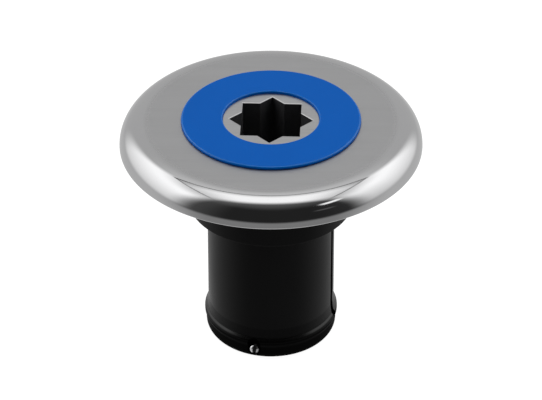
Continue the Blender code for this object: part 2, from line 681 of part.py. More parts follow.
def main():
    clear_scene()
    parts = make_collection("deck_fill_cap")
    cutters = make_collection("cutters")
    fitting = [
        make_trim_flange(parts),
        make_trim_grip_ring(parts),
        make_filler_body(parts, cutters),
        make_deck_gasket(parts),
        make_retaining_chain(parts),
        make_anchor_screw(parts, cutters),
        make_anchor_washer(parts),
        make_anchor_eyelet(parts, cutters),
        make_anchor_nut(parts, cutters),
    ]
    swivel = [make_swivel_eyelet(parts, cutters)]
    lid = [
        make_lid_plug(parts, cutters),
        make_colour_ring(parts),
        make_star_plate(parts, cutters),
        make_lid_o_ring(parts),
        make_swivel_screw(parts, cutters),
        make_swivel_washer(parts),
    ]
    for piece in fitting + swivel + lid:
        if piece.type == "MESH":
            shade(piece)
    group_on_axis("fitting", fitting, parts)
    group_on_axis("swivel", swivel, parts)
    group_on_axis("lid", lid, parts)


main()
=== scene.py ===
"""The looks of a boat deck filler with its screw-in cap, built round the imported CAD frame."""

import math

import bmesh
import bpy
from mathutils import Matrix, Vector


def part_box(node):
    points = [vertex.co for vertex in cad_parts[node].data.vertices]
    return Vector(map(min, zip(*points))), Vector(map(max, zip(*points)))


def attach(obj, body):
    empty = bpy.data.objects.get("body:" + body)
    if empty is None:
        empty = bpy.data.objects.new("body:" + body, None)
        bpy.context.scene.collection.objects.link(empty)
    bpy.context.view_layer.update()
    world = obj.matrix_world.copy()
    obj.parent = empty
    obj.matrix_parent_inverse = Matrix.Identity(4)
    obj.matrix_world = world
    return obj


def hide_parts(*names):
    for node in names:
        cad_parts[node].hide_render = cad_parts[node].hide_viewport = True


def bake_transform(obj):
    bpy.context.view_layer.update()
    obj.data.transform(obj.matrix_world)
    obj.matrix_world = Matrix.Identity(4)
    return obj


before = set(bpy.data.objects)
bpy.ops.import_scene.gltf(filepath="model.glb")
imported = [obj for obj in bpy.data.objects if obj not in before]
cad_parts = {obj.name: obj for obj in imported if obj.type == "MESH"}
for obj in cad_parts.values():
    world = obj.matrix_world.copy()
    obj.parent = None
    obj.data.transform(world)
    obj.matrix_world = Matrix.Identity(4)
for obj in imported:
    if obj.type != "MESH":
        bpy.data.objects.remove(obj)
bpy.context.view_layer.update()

MM = 0.001
TURN_STEPS = 192  # facets of a full turn
SHOWN_STEPS = 256  # the same on the trim and the blue ring
CORD_STEPS = 160  # on the two rubber cord rings
SMALL_STEPS = 72  # on screws, washers and eyelets
LINK_STEPS = 24  # on the chain's balls
ARC_STEP = math.radians(11)  # turn of one facet in a rounded edge
HOLD = 0.03 * MM  # how far beyond a rounded edge its support point lies
WELD = 0.0005 * MM  # vertices closer than this are one
CREASE = math.radians(32)  # edges sharper than this stay sharp
FITTING, SWIVEL, LID = "fitting", "swivel", "lid"


# Sizes taken from the frame

def top_of(node):
    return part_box(node)[1].z


def bottom_of(node):
    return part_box(node)[0].z


def radius_of(node):
    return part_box(node)[1].x


TOP_Z = top_of("trim_flange")
DECK_Z = bottom_of("trim_flange")
FLANGE_R = radius_of("trim_flange")
RING_R = radius_of("colour_ring")
PLATE_R = radius_of("star_plate")
BODY_R = radius_of("filler_body")
PLATE_TOP_Z = top_of("star_plate")

# Where the cap's ring meets its neighbours
RING_FOOT_R = RING_R - 0.45 * MM  # where its rounded edge meets the trim
MOUTH_R = RING_FOOT_R + 0.06 * MM  # the opening in the trim
RING_INNER_R = PLATE_R + 0.25 * MM
PLATE_LOW_Z = PLATE_TOP_Z - 0.2 * MM

# Trim flange
FLAT_TOP_R = 37.9 * MM
RIM_H = 7.6 * MM
TRIM_WALL = 1.8 * MM

# Filler body
COLLAR_R = 25.45 * MM
COLLAR_BOTTOM_Z = 47.2 * MM
TAIL_R = 19.65 * MM  # at the collar
TAIL_LOW_R = 19.8 * MM  # above the bead
TAIL_BORE_R = 16.2 * MM
BEAD_R = 20.95 * MM
TAIL_END_R = 20.5 * MM
BODY_FLANGE_TOP_Z = DECK_Z + 3.2 * MM
NECK_TOP_Z = 72.2 * MM
NECK_R = RING_R - 0.1 * MM
THREAD_BORE_BOTTOM_Z = 51.0 * MM
SEAL_BORE_R = 23.1 * MM
SEAL_BORE_Z = 69.5 * MM
GASKET_INNER_R = 27.5 * MM
GASKET_OUTER_R = 32.9 * MM
GASKET_T = 1.0 * MM
GASKET_ROOM = 0.3 * MM  # the recess is this much larger all round

# Holes for the deck screws
FIXING_CIRCLE_R = 36.5 * MM
FIXING_HOLE_R = 2.25 * MM
FIXING_SINK_R = 4.7 * MM
FIXING_SINK_DEPTH = 2.15 * MM

# Air vent down the outside of the tail
VENT_ANGLE = math.radians(-16)
VENT_HALF_W = 1.1 * MM
VENT_FLOOR_R = 18.55 * MM
VENT_CLEAR_R = 22.0 * MM
VENT_LOW_Z = 5.6 * MM

# Cap thread
THREAD_R = 20.0 * MM
THREAD_H = 1.6 * MM
THREAD_CLEARANCE = 0.4 * MM
THREAD_BORE_R = THREAD_R + THREAD_CLEARANCE
THREAD_BOTTOM_Z = 57.0 * MM
THREAD_TURNS = 1.5
PITCH = 5.0 * MM
THREAD_HALF_CREST = 0.7 * MM
THREAD_FLANK = 0.29  # how far each flank leans, along the axis over across it
THREAD_ROOT = 0.5 * MM  # how far the ridge and the groove's tool reach into their walls

# Cap
SOCKET_FLATS = 17.5 * MM
SOCKET_WEAR = 0.44 * MM  # the plug's star is this much wider than the socket's size
STAR_TWIST = math.radians(-2.3)
SOCKET_FLOOR_Z = 57.2 * MM
PLUG_HEAD_R = RING_FOOT_R - 0.1 * MM
PLUG_TOP_Z = TOP_Z - 1.3 * MM
PLUG_BOTTOM_Z = 54.0 * MM
BOSS_BOTTOM_Z = bottom_of("lid_plug")
BOSS_R = 4.0 * MM
SWIVEL_SHANK_R = 1.5 * MM
SWIVEL_HOLE_R = SWIVEL_SHANK_R + 0.35 * MM
SWIVEL_CLASP_R = 1.9 * MM
EYELET_LOW_Z = 49.0 * MM
EYELET_TOP_Z = 49.8 * MM

# Chain and its anchor in the wall of the tail
CHAIN_D = 3.2 * MM
BALL_PITCH = 4.05 * MM
CHAIN_TOP = Vector((0.0, -7.0 * MM, 43.5 * MM))
CHAIN_COIL_R = 13.6 * MM
CHAIN_COIL_Z = 2.1 * MM
ANCHOR_ANGLE = math.radians(-105)
ANCHOR_Z = 3.2 * MM
ANCHOR_HOLE_R = 1.3 * MM
ANCHOR_CLASP_ANGLE = ANCHOR_ANGLE + math.radians(18)
ANCHOR_CLASP_RADIUS = 13.5 * MM
ANCHOR_CLASP_L = 2.7 * MM
ANCHOR_CLASP_R = 1.7 * MM
RECESS_FLOOR = 18.7 * MM
RECESS_HALF_W = 2.1 * MM
RECESS_TOP_Z = 7.8 * MM
SLOT_HALF_W = 0.38 * MM  # of the slot in the screw's head
SLOT_TURN = math.radians(-8)
HEAD_LEAN = math.radians(14)  # the head turns to the front from straight out along the radius

# Camera and floor
CAMERA_SENSOR = 36.0
CAMERA_LENS = 163.6
CAMERA_ELEVATION = math.radians(32.87)
CAMERA_DISTANCE = 744.4 * MM  # from the middle of the flange's top
AIM_DROP = 29.44 * MM  # how far below that point the camera looks
FLOOR_R = 4.0
FLOOR_GAP = 0.5 * MM
FLOOR_GLOW = 0.97


# Outlines: lists of (across, along) points

def fillet(corner, to_before, to_after, radius):
    """An arc that touches both edges at a corner, with a support point just beyond each end."""
    half = to_before.angle(to_after) / 2
    reach = radius / math.tan(half)
    centre = corner + (to_before + to_after).normalized() * radius / math.sin(half)
    start = corner + to_before * reach
    end = corner + to_after * reach
    spoke, last = start - centre, end - centre
    sweep = math.atan2(spoke.cross(last), spoke.dot(last))
    steps = max(2, round(abs(sweep) / ARC_STEP))
    points = [start + to_before * HOLD]
    for i in range(steps + 1):
        angle = sweep * i / steps
        turn = Vector((math.cos(angle), math.sin(angle)))
        x = spoke.x * turn.x - spoke.y * turn.y
        y = spoke.x * turn.y + spoke.y * turn.x
        points.append(centre + Vector((x, y)))
    points.append(end + to_after * HOLD)
    return points


def rounded(corners, closed=True):
    """Points of an outline given as (across, along, rounding radius) corners."""
    points = []
    for i, (across, along, radius) in enumerate(corners):
        here = Vector((across, along))
        loose_end = not closed and i in (0, len(corners) - 1)
        if radius == 0.0 or loose_end:
            points.append(here)
            continue
        before = Vector(corners[i - 1][:2]) - here
        after = Vector(corners[(i + 1) % len(corners)][:2]) - here
        points += fillet(here, before.normalized(), after.normalized(), radius)
    return points


def ellipse(centre, size, start, end, steps):
    """Points of an elliptical arc from start to end degrees."""
    points = []
    for i in range(steps + 1):
        angle = math.radians(start + (end - start) * i / steps)
        offset = Vector((size[0] * math.cos(angle), size[1] * math.sin(angle)))
        points.append(Vector(centre) + offset)
    return points


def tube_corners(inner_r, outer_r, low_z, high_z, radius):
    """The four corners of a plain ring's section, all rounded alike."""
    return [
        (inner_r, high_z, radius),
        (outer_r, high_z, radius),
        (outer_r, low_z, radius),
        (inner_r, low_z, radius),
    ]


# Mesh tools

def finished(name, bm):
    """A smooth-shaded object from a bmesh, with its faces pointing out."""
    bmesh.ops.recalc_face_normals(bm, faces=bm.faces)
    mesh = bpy.data.meshes.new(name)
    bm.to_mesh(mesh)
    bm.free()
    obj = bpy.data.objects.new(name, mesh)
    bpy.context.scene.collection.objects.link(obj)
    shade(obj)
    return obj


def shade(obj):
    obj.data.shade_smooth()
    obj.data.set_sharp_from_angle(angle=CREASE)


def turned(name, outline, steps=TURN_STEPS, closed=True):
    """A solid turned about +Z from (radius, height) points. An open outline ends on the axis."""
    bm = bmesh.new()
    verts = [bm.verts.new((point[0], 0.0, point[1])) for point in outline]
    for first, second in zip(verts, verts[1:]):
        bm.edges.new((first, second))
    if closed:
        bm.edges.new((verts[-1], verts[0]))
    bmesh.ops.spin(
        bm,
        geom=bm.verts[:] + bm.edges[:],
        cent=(0.0, 0.0, 0.0),
        axis=(0.0, 0.0, 1.0),
        angle=2 * math.pi,
        steps=steps,
        use_merge=True,
    )
    bmesh.ops.remove_doubles(bm, verts=bm.verts, dist=WELD)
    return finished(name, bm)


def settle(obj):
    """Makes the evaluated shape the object's own mesh."""
    graph = bpy.context.evaluated_depsgraph_get()
    shape = bpy.data.meshes.new_from_object(obj.evaluated_get(graph))
    obj.modifiers.clear()
    obj.data = shape
    shade(obj)
    return obj


def combine(obj, tools, operation):
    """Cuts the tools out of an object, or joins them to it, one after another."""
    for tool in tools:
        modifier = obj.modifiers.new("shape", "BOOLEAN")
        modifier.operation = operation
        modifier.object = tool
        modifier.solver = "EXACT"
    settle(obj)
    for tool in tools:
        bpy.data.objects.remove(tool)
    return obj


def cut(obj, *tools):
    return combine(obj, tools, "DIFFERENCE")


def join(obj, *tools):
    return combine(obj, tools, "UNION")


def prism(outline, low_z, high_z):
    """A tool with a flat outline, standing along +Z."""
    bm = bmesh.new()
    base = [bm.verts.new((point[0], point[1], low_z)) for point in outline]
    face = bm.faces.new(base)
    grown = bmesh.ops.extrude_face_region(bm, geom=[face])["geom"]
    moved = [item for item in grown if isinstance(item, bmesh.types.BMVert)]
    bmesh.ops.translate(bm, vec=(0.0, 0.0, high_z - low_z), verts=moved)
    return finished("tool", bm)


def rectangle(low, high, radius):
    """A rounded rectangle between two (x, y) corners."""
    corners = ((low[0], low[1]), (high[0], low[1]), (high[0], high[1]), (low[0], high[1]))
    return rounded([(x, y, radius) for x, y in corners])


def drill(radius, low_z, high_z, high_r=None):
    """A round tool along +Z, conical if the two radii differ."""
    far_r = radius if high_r is None else high_r
    outline = [(0.0, high_z), (far_r, high_z), (radius, low_z), (0.0, low_z)]
    return turned("tool", outline, SMALL_STEPS, closed=False)


def place(obj, matrix):
    obj.data.transform(matrix)
    return obj


def outwards(angle, z):
    """Lays what is built along +Z out along the tail's radius at that angle."""
    lift = Matrix.Translation((0.0, 0.0, z))
    return lift @ Matrix.Rotation(angle, 4, "Z") @ Matrix.Rotation(math.pi / 2, 4, "Y")


def star(flats, tip_r, notch_r):
    """An eight-pointed outline: two squares an eighth of a turn apart."""
    tip = flats / 2 * math.sqrt(2)
    notch = flats / 2 / math.cos(math.pi / 8)
    corners = []
    for i in range(8):
        angle = STAR_TWIST + math.pi / 4 * i
        corners.append((tip * math.cos(angle), tip * math.sin(angle), tip_r))
        angle += math.pi / 8
        corners.append((notch * math.cos(angle), notch * math.sin(angle), notch_r))
    return rounded(corners)


def helix(root_r, crest_r, clearance, start_z, turns, start_angle):
    """A thread ridge, or with clearance, the tool for its groove."""
    bm = bmesh.new()
    outline = []
    for r, side in ((root_r, -1), (crest_r, -1), (crest_r, 1), (root_r, 1)):
        half = THREAD_HALF_CREST + THREAD_FLANK * (THREAD_R + THREAD_H - r) + clearance
        outline.append(Vector((r, 0.0, side * half)))
    steps = round(TURN_STEPS * turns)
    rings = []
    for i in range(steps + 1):
        share = i / steps
        lift = Vector((0.0, 0.0, start_z + PITCH * turns * share))
        spin = Matrix.Rotation(start_angle + 2 * math.pi * turns * share, 3, "Z")
        rings.append([bm.verts.new(spin @ point + lift) for point in outline])
    for low, high in zip(rings, rings[1:]):
        for k in range(4):
            bm.faces.new((low[k], low[(k + 1) % 4], high[(k + 1) % 4], high[k]))
    bmesh.ops.remove_doubles(bm, verts=bm.verts, dist=WELD)
    ends = [edge for edge in bm.edges if edge.is_boundary]
    bmesh.ops.holes_fill(bm, edges=ends)
    return finished("tool", bm)


# Materials

NOISE_SPAN = (0.3, 0.7)  # most of a noise's values lie between these
WIDE_SPAN = (0.25, 0.75)


class Nodes:
    """Builds the nodes of a material or of the world with short calls."""

    def __init__(self, tree):
        self.tree = tree

    def add(self, kind, **settings):
        node = self.tree.nodes.new(kind)
        for key, value in settings.items():
            setattr(node, key, value)
        return node

    def feed(self, socket, value):
        if isinstance(value, bpy.types.NodeSocket):
            self.tree.links.new(value, socket)
        else:
            socket.default_value = value

    def math(self, operation, first, second=0.0, third=0.0):
        node = self.add("ShaderNodeMath", operation=operation)
        for socket, value in zip(node.inputs, (first, second, third)):
            self.feed(socket, value)
        return node.outputs[0]

    def vector_math(self, operation, first, second=(0.0, 0.0, 0.0)):
        node = self.add("ShaderNodeVectorMath", operation=operation)
        self.feed(node.inputs[0], first)
        self.feed(node.inputs[1], second)
        return node.outputs

    def split(self, vector):
        node = self.add("ShaderNodeSeparateXYZ")
        self.feed(node.inputs[0], vector)
        return node.outputs

    def ramp(self, value, low, high, start=0.0, end=1.0, smooth=True):
        """Goes from start to end as value goes from low to high."""
        kind = "SMOOTHSTEP" if smooth else "LINEAR"
        node = self.add("ShaderNodeMapRange", interpolation_type=kind)
        for socket, number in zip(node.inputs, (value, low, high, start, end)):
            self.feed(socket, number)
        return node.outputs[0]

    def window(self, value, low, high, soft_low, soft_high):
        """1 between low and high, falling softly to 0 at both."""
        rise = self.ramp(value, low - soft_low, low + soft_low)
        fall = self.ramp(value, high - soft_high, high + soft_high, 1.0, 0.0)
        return self.math("MULTIPLY", rise, fall)

    def mix(self, factor, first, second):
        node = self.add("ShaderNodeMix", data_type="FLOAT")
        for socket, value in zip(node.inputs[:1] + node.inputs[2:4], (factor, first, second)):
            self.feed(socket, value)
        return node.outputs[0]

    def blend_colour(self, factor, first, second):
        node = self.add("ShaderNodeMix", data_type="RGBA")
        for socket, value in zip(node.inputs[:1] + node.inputs[6:8], (factor, first, second)):
            self.feed(socket, value)
        return node.outputs[2]

    def place(self, stretch=(1.0, 1.0, 1.0), turn=(0.0, 0.0, 0.0)):
        """The object's own coordinates, scaled and turned."""
        source = self.add("ShaderNodeTexCoord").outputs["Object"]
        node = self.add("ShaderNodeMapping")
        self.feed(node.inputs["Vector"], source)
        node.inputs["Scale"].default_value = stretch
        node.inputs["Rotation"].default_value = turn
        return node.outputs[0]

    def noise(self, place, scale, detail=3.0, rough=0.5):
        node = self.add("ShaderNodeTexNoise")
        self.feed(node.inputs["Vector"], place)
        node.inputs["Scale"].default_value = scale
        node.inputs["Detail"].default_value = detail
        node.inputs["Roughness"].default_value = rough
        return node.outputs[0]

    def bump(self, height, depth, below=None):
        node = self.add("ShaderNodeBump")
        node.inputs["Distance"].default_value = depth
        self.feed(node.inputs["Height"], height)
        if below is not None:
            self.feed(node.inputs["Normal"], below)
        return node.outputs[0]


def new_material(name, colour, roughness, metallic=0.0, specular=0.5):
    material = bpy.data.materials.new(name)
    material.use_nodes = True
    shader = material.node_tree.nodes["Principled BSDF"]
    shader.inputs["Base Color"].default_value = (*colour, 1.0)
    shader.inputs["Roughness"].default_value = roughness
    shader.inputs["Metallic"].default_value = metallic
    shader.inputs["Specular IOR Level"].default_value = specular
    material.diffuse_color = (*colour, 1.0)
    return material, shader, Nodes(material.node_tree)


def grey(value):
    return (value, value, value * 1.01, 1.0)


def trim_steel():
    """Satin flat top, brushed along X, running into a mirror-polished rim."""
    material, shader, nodes = new_material("trim_steel", (0.62, 0.62, 0.625), 0.1, 1.0)
    satin_ends, polish_starts = FLAT_TOP_R - 1.6 * MM, FLAT_TOP_R + 1.2 * MM
    flat_place = nodes.vector_math("MULTIPLY", nodes.place(), (1.0, 1.0, 0.0))["Vector"]
    distance = nodes.vector_math("LENGTH", flat_place)["Value"]
    satin = nodes.ramp(distance, satin_ends, polish_starts, 1.0, 0.0)
    fine = nodes.noise(nodes.place((35.0, 1500.0, 1500.0)), 1.0, 5.0, 0.65)
    broad = nodes.noise(nodes.place((22.0, 260.0, 260.0)), 1.0, 3.0, 0.6)
    cloud = nodes.noise(nodes.place(), 60.0, 2.0)
    satin_rough = nodes.ramp(fine, *WIDE_SPAN, 0.36, 0.48, smooth=False)
    polished_rough = nodes.ramp(cloud, *NOISE_SPAN, 0.05, 0.085)
    nodes.feed(shader.inputs["Roughness"], nodes.mix(satin, polished_rough, satin_rough))
    broad_share, fine_share = 0.45, 0.55
    streaks = nodes.math("MULTIPLY_ADD", broad, broad_share,
                         nodes.math("MULTIPLY", fine, fine_share))
    shine = nodes.ramp(streaks, *NOISE_SPAN, smooth=False)
    brushed = nodes.blend_colour(shine, grey(0.485), grey(0.535))
    polished = nodes.blend_colour(cloud, grey(0.61), grey(0.64))
    nodes.feed(shader.inputs["Base Color"], nodes.blend_colour(satin, polished, brushed))
    ripple = nodes.noise(nodes.place(), 260.0, 1.0)
    surface = nodes.bump(ripple, 0.004 * MM)
    grain = nodes.math("MULTIPLY", fine, satin)
    nodes.feed(shader.inputs["Normal"], nodes.bump(grain, 0.006 * MM, surface))
    return material


def plate_steel():
    """Satin stainless sheet with fine scratches along X and a few stray ones across."""
    material, shader, nodes = new_material("plate_steel", (0.66, 0.66, 0.66), 0.3, 1.0)
    fine = nodes.noise(nodes.place((45.0, 1700.0, 1700.0)), 1.0, 4.0, 0.6)
    stray = nodes.noise(nodes.place((900.0, 60.0, 900.0), (0.0, 0.0, 0.5)), 1.0, 2.0, 0.5)
    spread = nodes.ramp(fine, *WIDE_SPAN, 0.26, 0.38, smooth=False)
    nodes.feed(shader.inputs["Roughness"], spread)
    stray_share, fine_share = 0.2, 0.8
    streaks = nodes.math("MULTIPLY_ADD", stray, stray_share,
                         nodes.math("MULTIPLY", fine, fine_share))
    shine = nodes.ramp(streaks, *NOISE_SPAN, smooth=False)
    nodes.feed(shader.inputs["Base Color"], nodes.blend_colour(shine, grey(0.53), grey(0.61)))
    nodes.feed(shader.inputs["Normal"], nodes.bump(fine, 0.01 * MM))
    return material


def small_steel(name, roughness=0.16):
    """Machined stainless hardware: faint turning marks and handling wear."""
    material, shader, nodes = new_material(name, (0.64, 0.64, 0.65), roughness, 1.0)
    wear = nodes.noise(nodes.place(), 900.0, 4.0, 0.6)
    marks = nodes.noise(nodes.place((300.0, 300.0, 4000.0)), 1.0, 2.0)
    spread = nodes.ramp(wear, *NOISE_SPAN, roughness * 0.8, roughness * 1.5)
    nodes.feed(shader.inputs["Roughness"], spread)
    nodes.feed(shader.inputs["Base Color"], nodes.blend_colour(wear, grey(0.58), grey(0.70)))
    nodes.feed(shader.inputs["Normal"], nodes.bump(marks, 0.004 * MM))
    return material


def screw_steel():
    """The anchor screw's polished steel, with painted shade darkening its slot, a painted shade
    spot low on its head, and a rougher slot.
    """
    material, shader, nodes = new_material("screw_steel", (0.7, 0.7, 0.7), 0.12, 1.0)
    slot_turn = Matrix.Rotation(SLOT_TURN, 4, "Z")
    across = outwards(ANCHOR_ANGLE, 0.0) @ slot_turn @ Vector((0.0, 1.0, 0.0))
    along_across = nodes.vector_math("DOT_PRODUCT", nodes.place(), across)["Value"]
    from_middle = nodes.math("SUBTRACT", along_across, across.z * ANCHOR_Z)
    from_slot = nodes.math("ABSOLUTE", from_middle)
    # painted shade: the slot's walls and floor are given a near-black base colour
    open_face = nodes.ramp(from_slot, SLOT_HALF_W, SLOT_HALF_W + 0.1 * MM)
    # painted shade: a darker spot on the lower part of the head
    shade_spot = outwards(ANCHOR_ANGLE, ANCHOR_Z) @ (Vector((1.1, 0.5, 20.2)) * MM)
    from_shade_spot = nodes.vector_math("DISTANCE", nodes.place(), shade_spot)["Value"]
    unshaded_below = nodes.ramp(from_shade_spot, 0.5 * MM, 1.5 * MM, 0.15, 1.0)
    unshaded = nodes.math("MULTIPLY", open_face, unshaded_below)
    wear = nodes.noise(nodes.place(), 900.0, 4.0, 0.6)
    polished = nodes.blend_colour(wear, grey(0.78), grey(0.9))
    nodes.feed(shader.inputs["Base Color"], nodes.blend_colour(unshaded, grey(0.03), polished))
    slot_rough = 0.5
    face_rough = nodes.ramp(wear, *NOISE_SPAN, 0.1, 0.18)
    nodes.feed(shader.inputs["Roughness"], nodes.mix(unshaded, slot_rough, face_rough))
    nodes.feed(shader.inputs["Normal"], nodes.bump(wear, 0.003 * MM))
    return material


def black_nylon(name, tint=0.0022):
    """Glass-filled nylon, moulded: almost black, with a fine grain and slight flow marks.

    The bead's shoulder is polished by hoses and the foot below it is left dull, with a lighter base
    colour as painted light.
    """
    material, shader, nodes = new_material(name, (tint, tint, tint), 0.34, 0.0, 0.14)
    flow = nodes.noise(nodes.place((60.0, 60.0, 25.0)), 1.0, 3.0, 0.5)
    grain = nodes.noise(nodes.place(), 2600.0, 3.0, 0.6)
    level = nodes.split(nodes.place())[2]
    shoulder_low, shoulder_high, shoulder_soft = 7.3 * MM, 7.95 * MM, 0.2 * MM
    worn = nodes.window(level, shoulder_low, shoulder_high, shoulder_soft, shoulder_soft)
    worn_rough, worn_specular = 0.22, 0.5
    rough = nodes.ramp(flow, *NOISE_SPAN, 0.27, 0.36)
    nodes.feed(shader.inputs["Roughness"], nodes.mix(worn, rough, worn_rough))
    foot_edge = (6.4 * MM, 7.2 * MM)
    specular = nodes.ramp(level, *foot_edge, 0.003, 0.12)
    nodes.feed(shader.inputs["Specular IOR Level"], nodes.mix(worn, specular, worn_specular))
    light = (tint * 1.5, tint * 1.5, tint * 1.6, 1.0)
    dark = (tint * 0.7, tint * 0.7, tint * 0.72, 1.0)
    skin = nodes.blend_colour(grain, dark, light)
    # painted light: the foot below the bead gets a lighter base colour than the rest of the nylon
    foot = nodes.ramp(level, *foot_edge, 1.0, 0.0)
    nodes.feed(shader.inputs["Base Color"], nodes.blend_colour(foot, skin, grey(0.006)))
    waves = nodes.bump(flow, 0.02 * MM)
    nodes.feed(shader.inputs["Normal"], nodes.bump(grain, 0.006 * MM, waves))
    return material


def blue_plastic():
    """Moulded blue cap ring: satin skin with a very fine texture, and glossier rounded edges whose
    paler base colour is a painted highlight.
    """
    material, shader, nodes = new_material("ring_blue", (0.0006, 0.134, 0.60), 0.4, 0.0, 0.06)
    cloud = nodes.noise(nodes.place(), 70.0, 3.0, 0.55)
    grain = nodes.noise(nodes.place(), 1900.0, 3.0, 0.6)
    deep = (0.0004, 0.126, 0.57, 1.0)
    bright = (0.0008, 0.142, 0.63, 1.0)
    pale = (0.001, 0.19, 0.72, 1.0)
    normal = nodes.add("ShaderNodeNewGeometry").outputs["Normal"]
    facing_up = nodes.split(normal)[2]
    edge = nodes.window(facing_up, 0.62, 0.96, 0.15, 0.03)
    skin = nodes.blend_colour(cloud, deep, bright)
    # painted highlight: the rounded edges' base colour is blended to a paler blue
    nodes.feed(shader.inputs["Base Color"], nodes.blend_colour(edge, skin, pale))
    skin_specular, edge_specular, edge_rough = 0.06, 0.4, 0.16
    specular = nodes.mix(edge, skin_specular, edge_specular)
    nodes.feed(shader.inputs["Specular IOR Level"], specular)
    skin_rough = nodes.ramp(grain, *NOISE_SPAN, 0.33, 0.43)
    nodes.feed(shader.inputs["Roughness"], nodes.mix(edge, skin_rough, edge_rough))
    nodes.feed(shader.inputs["Normal"], nodes.bump(grain, 0.006 * MM))
    return material


def seal_rubber(name, tint=0.012, roughness=0.62):
    """Black sealing rubber with a matt, slightly dusty skin."""
    material, shader, nodes = new_material(name, (tint, tint, tint), roughness, 0.0, 0.35)
    dust = nodes.noise(nodes.place(), 420.0, 4.0, 0.6)
    grain = nodes.noise(nodes.place(), 2400.0, 2.0)
    skin = (tint, tint, tint, 1.0)
    dusty = (tint * 2.2, tint * 2.2, tint * 2.1, 1.0)
    cover = nodes.ramp(dust, 0.45, 0.8)
    nodes.feed(shader.inputs["Base Color"], nodes.blend_colour(cover, skin, dusty))
    spread = nodes.ramp(dust, *NOISE_SPAN, roughness - 0.1, roughness + 0.1)
    nodes.feed(shader.inputs["Roughness"], spread)
    nodes.feed(shader.inputs["Normal"], nodes.bump(grain, 0.008 * MM))
    return material


def install(piece, name, body, material, slot, *nodes):
    """Names a finished piece, gives it its material and ties it to the frame."""
    piece.name = name
    piece.data.name = name
    piece.data.materials.clear()
    piece.data.materials.append(material)
    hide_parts(*nodes)
    if body is not None:
        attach(piece, body)
    return piece


# Pieces of the deck fitting

def make_trim():
    rim_low_z = TOP_Z - RIM_H
    inner_r = FLANGE_R - TRIM_WALL
    under_z = TOP_Z - TRIM_WALL
    rim_centre = (FLAT_TOP_R, rim_low_z)
    edge = fillet(Vector((MOUTH_R, TOP_Z)), Vector((0.0, -1.0)), Vector((1.0, 0.0)), 0.06 * MM)
    outline = edge + [Vector((FLAT_TOP_R - 2 * HOLD, TOP_Z))]
    outline += ellipse(rim_centre, (FLANGE_R - FLAT_TOP_R, RIM_H), 90, 0, steps=48)
    foot = [
        (FLANGE_R, rim_low_z, 0.0),
        (FLANGE_R, DECK_Z, 0.35 * MM),
        (inner_r, DECK_Z, 0.2 * MM),
        (inner_r, rim_low_z, 0.0),
    ]
    outline += rounded(foot, closed=False)[1:]
    inner_rim = (inner_r - FLAT_TOP_R, under_z - rim_low_z)
    outline += ellipse(rim_centre, inner_rim, 0, 90, steps=24)[1:]
    mouth = [(FLAT_TOP_R, under_z, 0.0), (MOUTH_R, under_z, 0.2 * MM), (MOUTH_R, TOP_Z, 0.0)]
    outline += rounded(mouth, closed=False)[1:-1]
    return turned("trim", outline, SHOWN_STEPS)


def tail_corners():
    """The hose tail's outer side, from the collar down to the rounded end."""
    return [
        (COLLAR_R, COLLAR_BOTTOM_Z, 0.12 * MM),
        (TAIL_R, COLLAR_BOTTOM_Z, 0.3 * MM),
        (TAIL_LOW_R, 11.2 * MM, 1.6 * MM),
        (TAIL_LOW_R + 0.35 * MM, 8.0 * MM, 0.5 * MM),
        (BEAD_R, 6.9 * MM, 0.6 * MM),
        (BEAD_R, 5.9 * MM, 0.6 * MM),
        (TAIL_END_R, 4.7 * MM, 0.6 * MM),
        (TAIL_END_R, 0.0, 2.4 * MM),
        (TAIL_BORE_R, 0.0, 0.7 * MM),
    ]


def make_body():
    rib_r = NECK_R + 1.0 * MM
    rib_outer_r = rib_r + 2.2 * MM
    rib_top_z = TOP_Z - TRIM_WALL - 0.3 * MM
    groove_r = BODY_R - 1.25 * MM
    groove_low_z = DECK_Z + 0.5 * MM
    groove_high_z = BODY_FLANGE_TOP_Z - 0.5 * MM
    recess_z = DECK_Z + GASKET_T + GASKET_ROOM
    recess_outer_r = GASKET_OUTER_R + GASKET_ROOM
    recess_inner_r = GASKET_INNER_R - GASKET_ROOM
    edge = 0.15 * MM
    corners = [
        (SEAL_BORE_R, NECK_TOP_Z, 0.4 * MM),
        (NECK_R, NECK_TOP_Z, 0.3 * MM),
        (NECK_R, BODY_FLANGE_TOP_Z, edge),
        (rib_r, BODY_FLANGE_TOP_Z, edge),
        (rib_r, rib_top_z, 0.3 * MM),
        (rib_outer_r, rib_top_z, 0.3 * MM),
        (rib_outer_r, BODY_FLANGE_TOP_Z, 0.3 * MM),
        (BODY_R, BODY_FLANGE_TOP_Z, 0.25 * MM),
        (BODY_R, groove_high_z, edge),
        (groove_r, groove_high_z, 0.5 * MM),
        (groove_r, groove_low_z, 0.5 * MM),
        (BODY_R, groove_low_z, edge),
        (BODY_R, DECK_Z, edge),
        (recess_outer_r, DECK_Z, edge),
        (recess_outer_r, recess_z, edge),
        (recess_inner_r, recess_z, edge),
        (recess_inner_r, DECK_Z, edge),
        (COLLAR_R, DECK_Z, 0.4 * MM),
        *tail_corners(),
        (TAIL_BORE_R, THREAD_BORE_BOTTOM_Z, 0.3 * MM),
        (THREAD_BORE_R, THREAD_BORE_BOTTOM_Z, 0.3 * MM),
        (THREAD_BORE_R, SEAL_BORE_Z, 0.25 * MM),
        (SEAL_BORE_R, SEAL_BORE_Z, 0.3 * MM),
    ]
    body = turned("body", rounded(corners))
    cut(body, *fixing_holes(), vent_groove(), *anchor_recess())
    return cut(body, thread_groove())


def thread_groove():
    """The tool for the bore's thread, which starts below the cap's and runs out at the top."""
    lead_in = 20 / 360
    run_out = 0.45
    turns = (SEAL_BORE_Z - THREAD_BOTTOM_Z) / PITCH + run_out + lead_in
    root_r = THREAD_BORE_R - THREAD_ROOT
    crest_r = THREAD_R + THREAD_H + THREAD_CLEARANCE
    start_z = THREAD_BOTTOM_Z - PITCH * lead_in
    start_angle = -2 * math.pi * lead_in
    return helix(root_r, crest_r, THREAD_CLEARANCE, start_z, turns, start_angle)


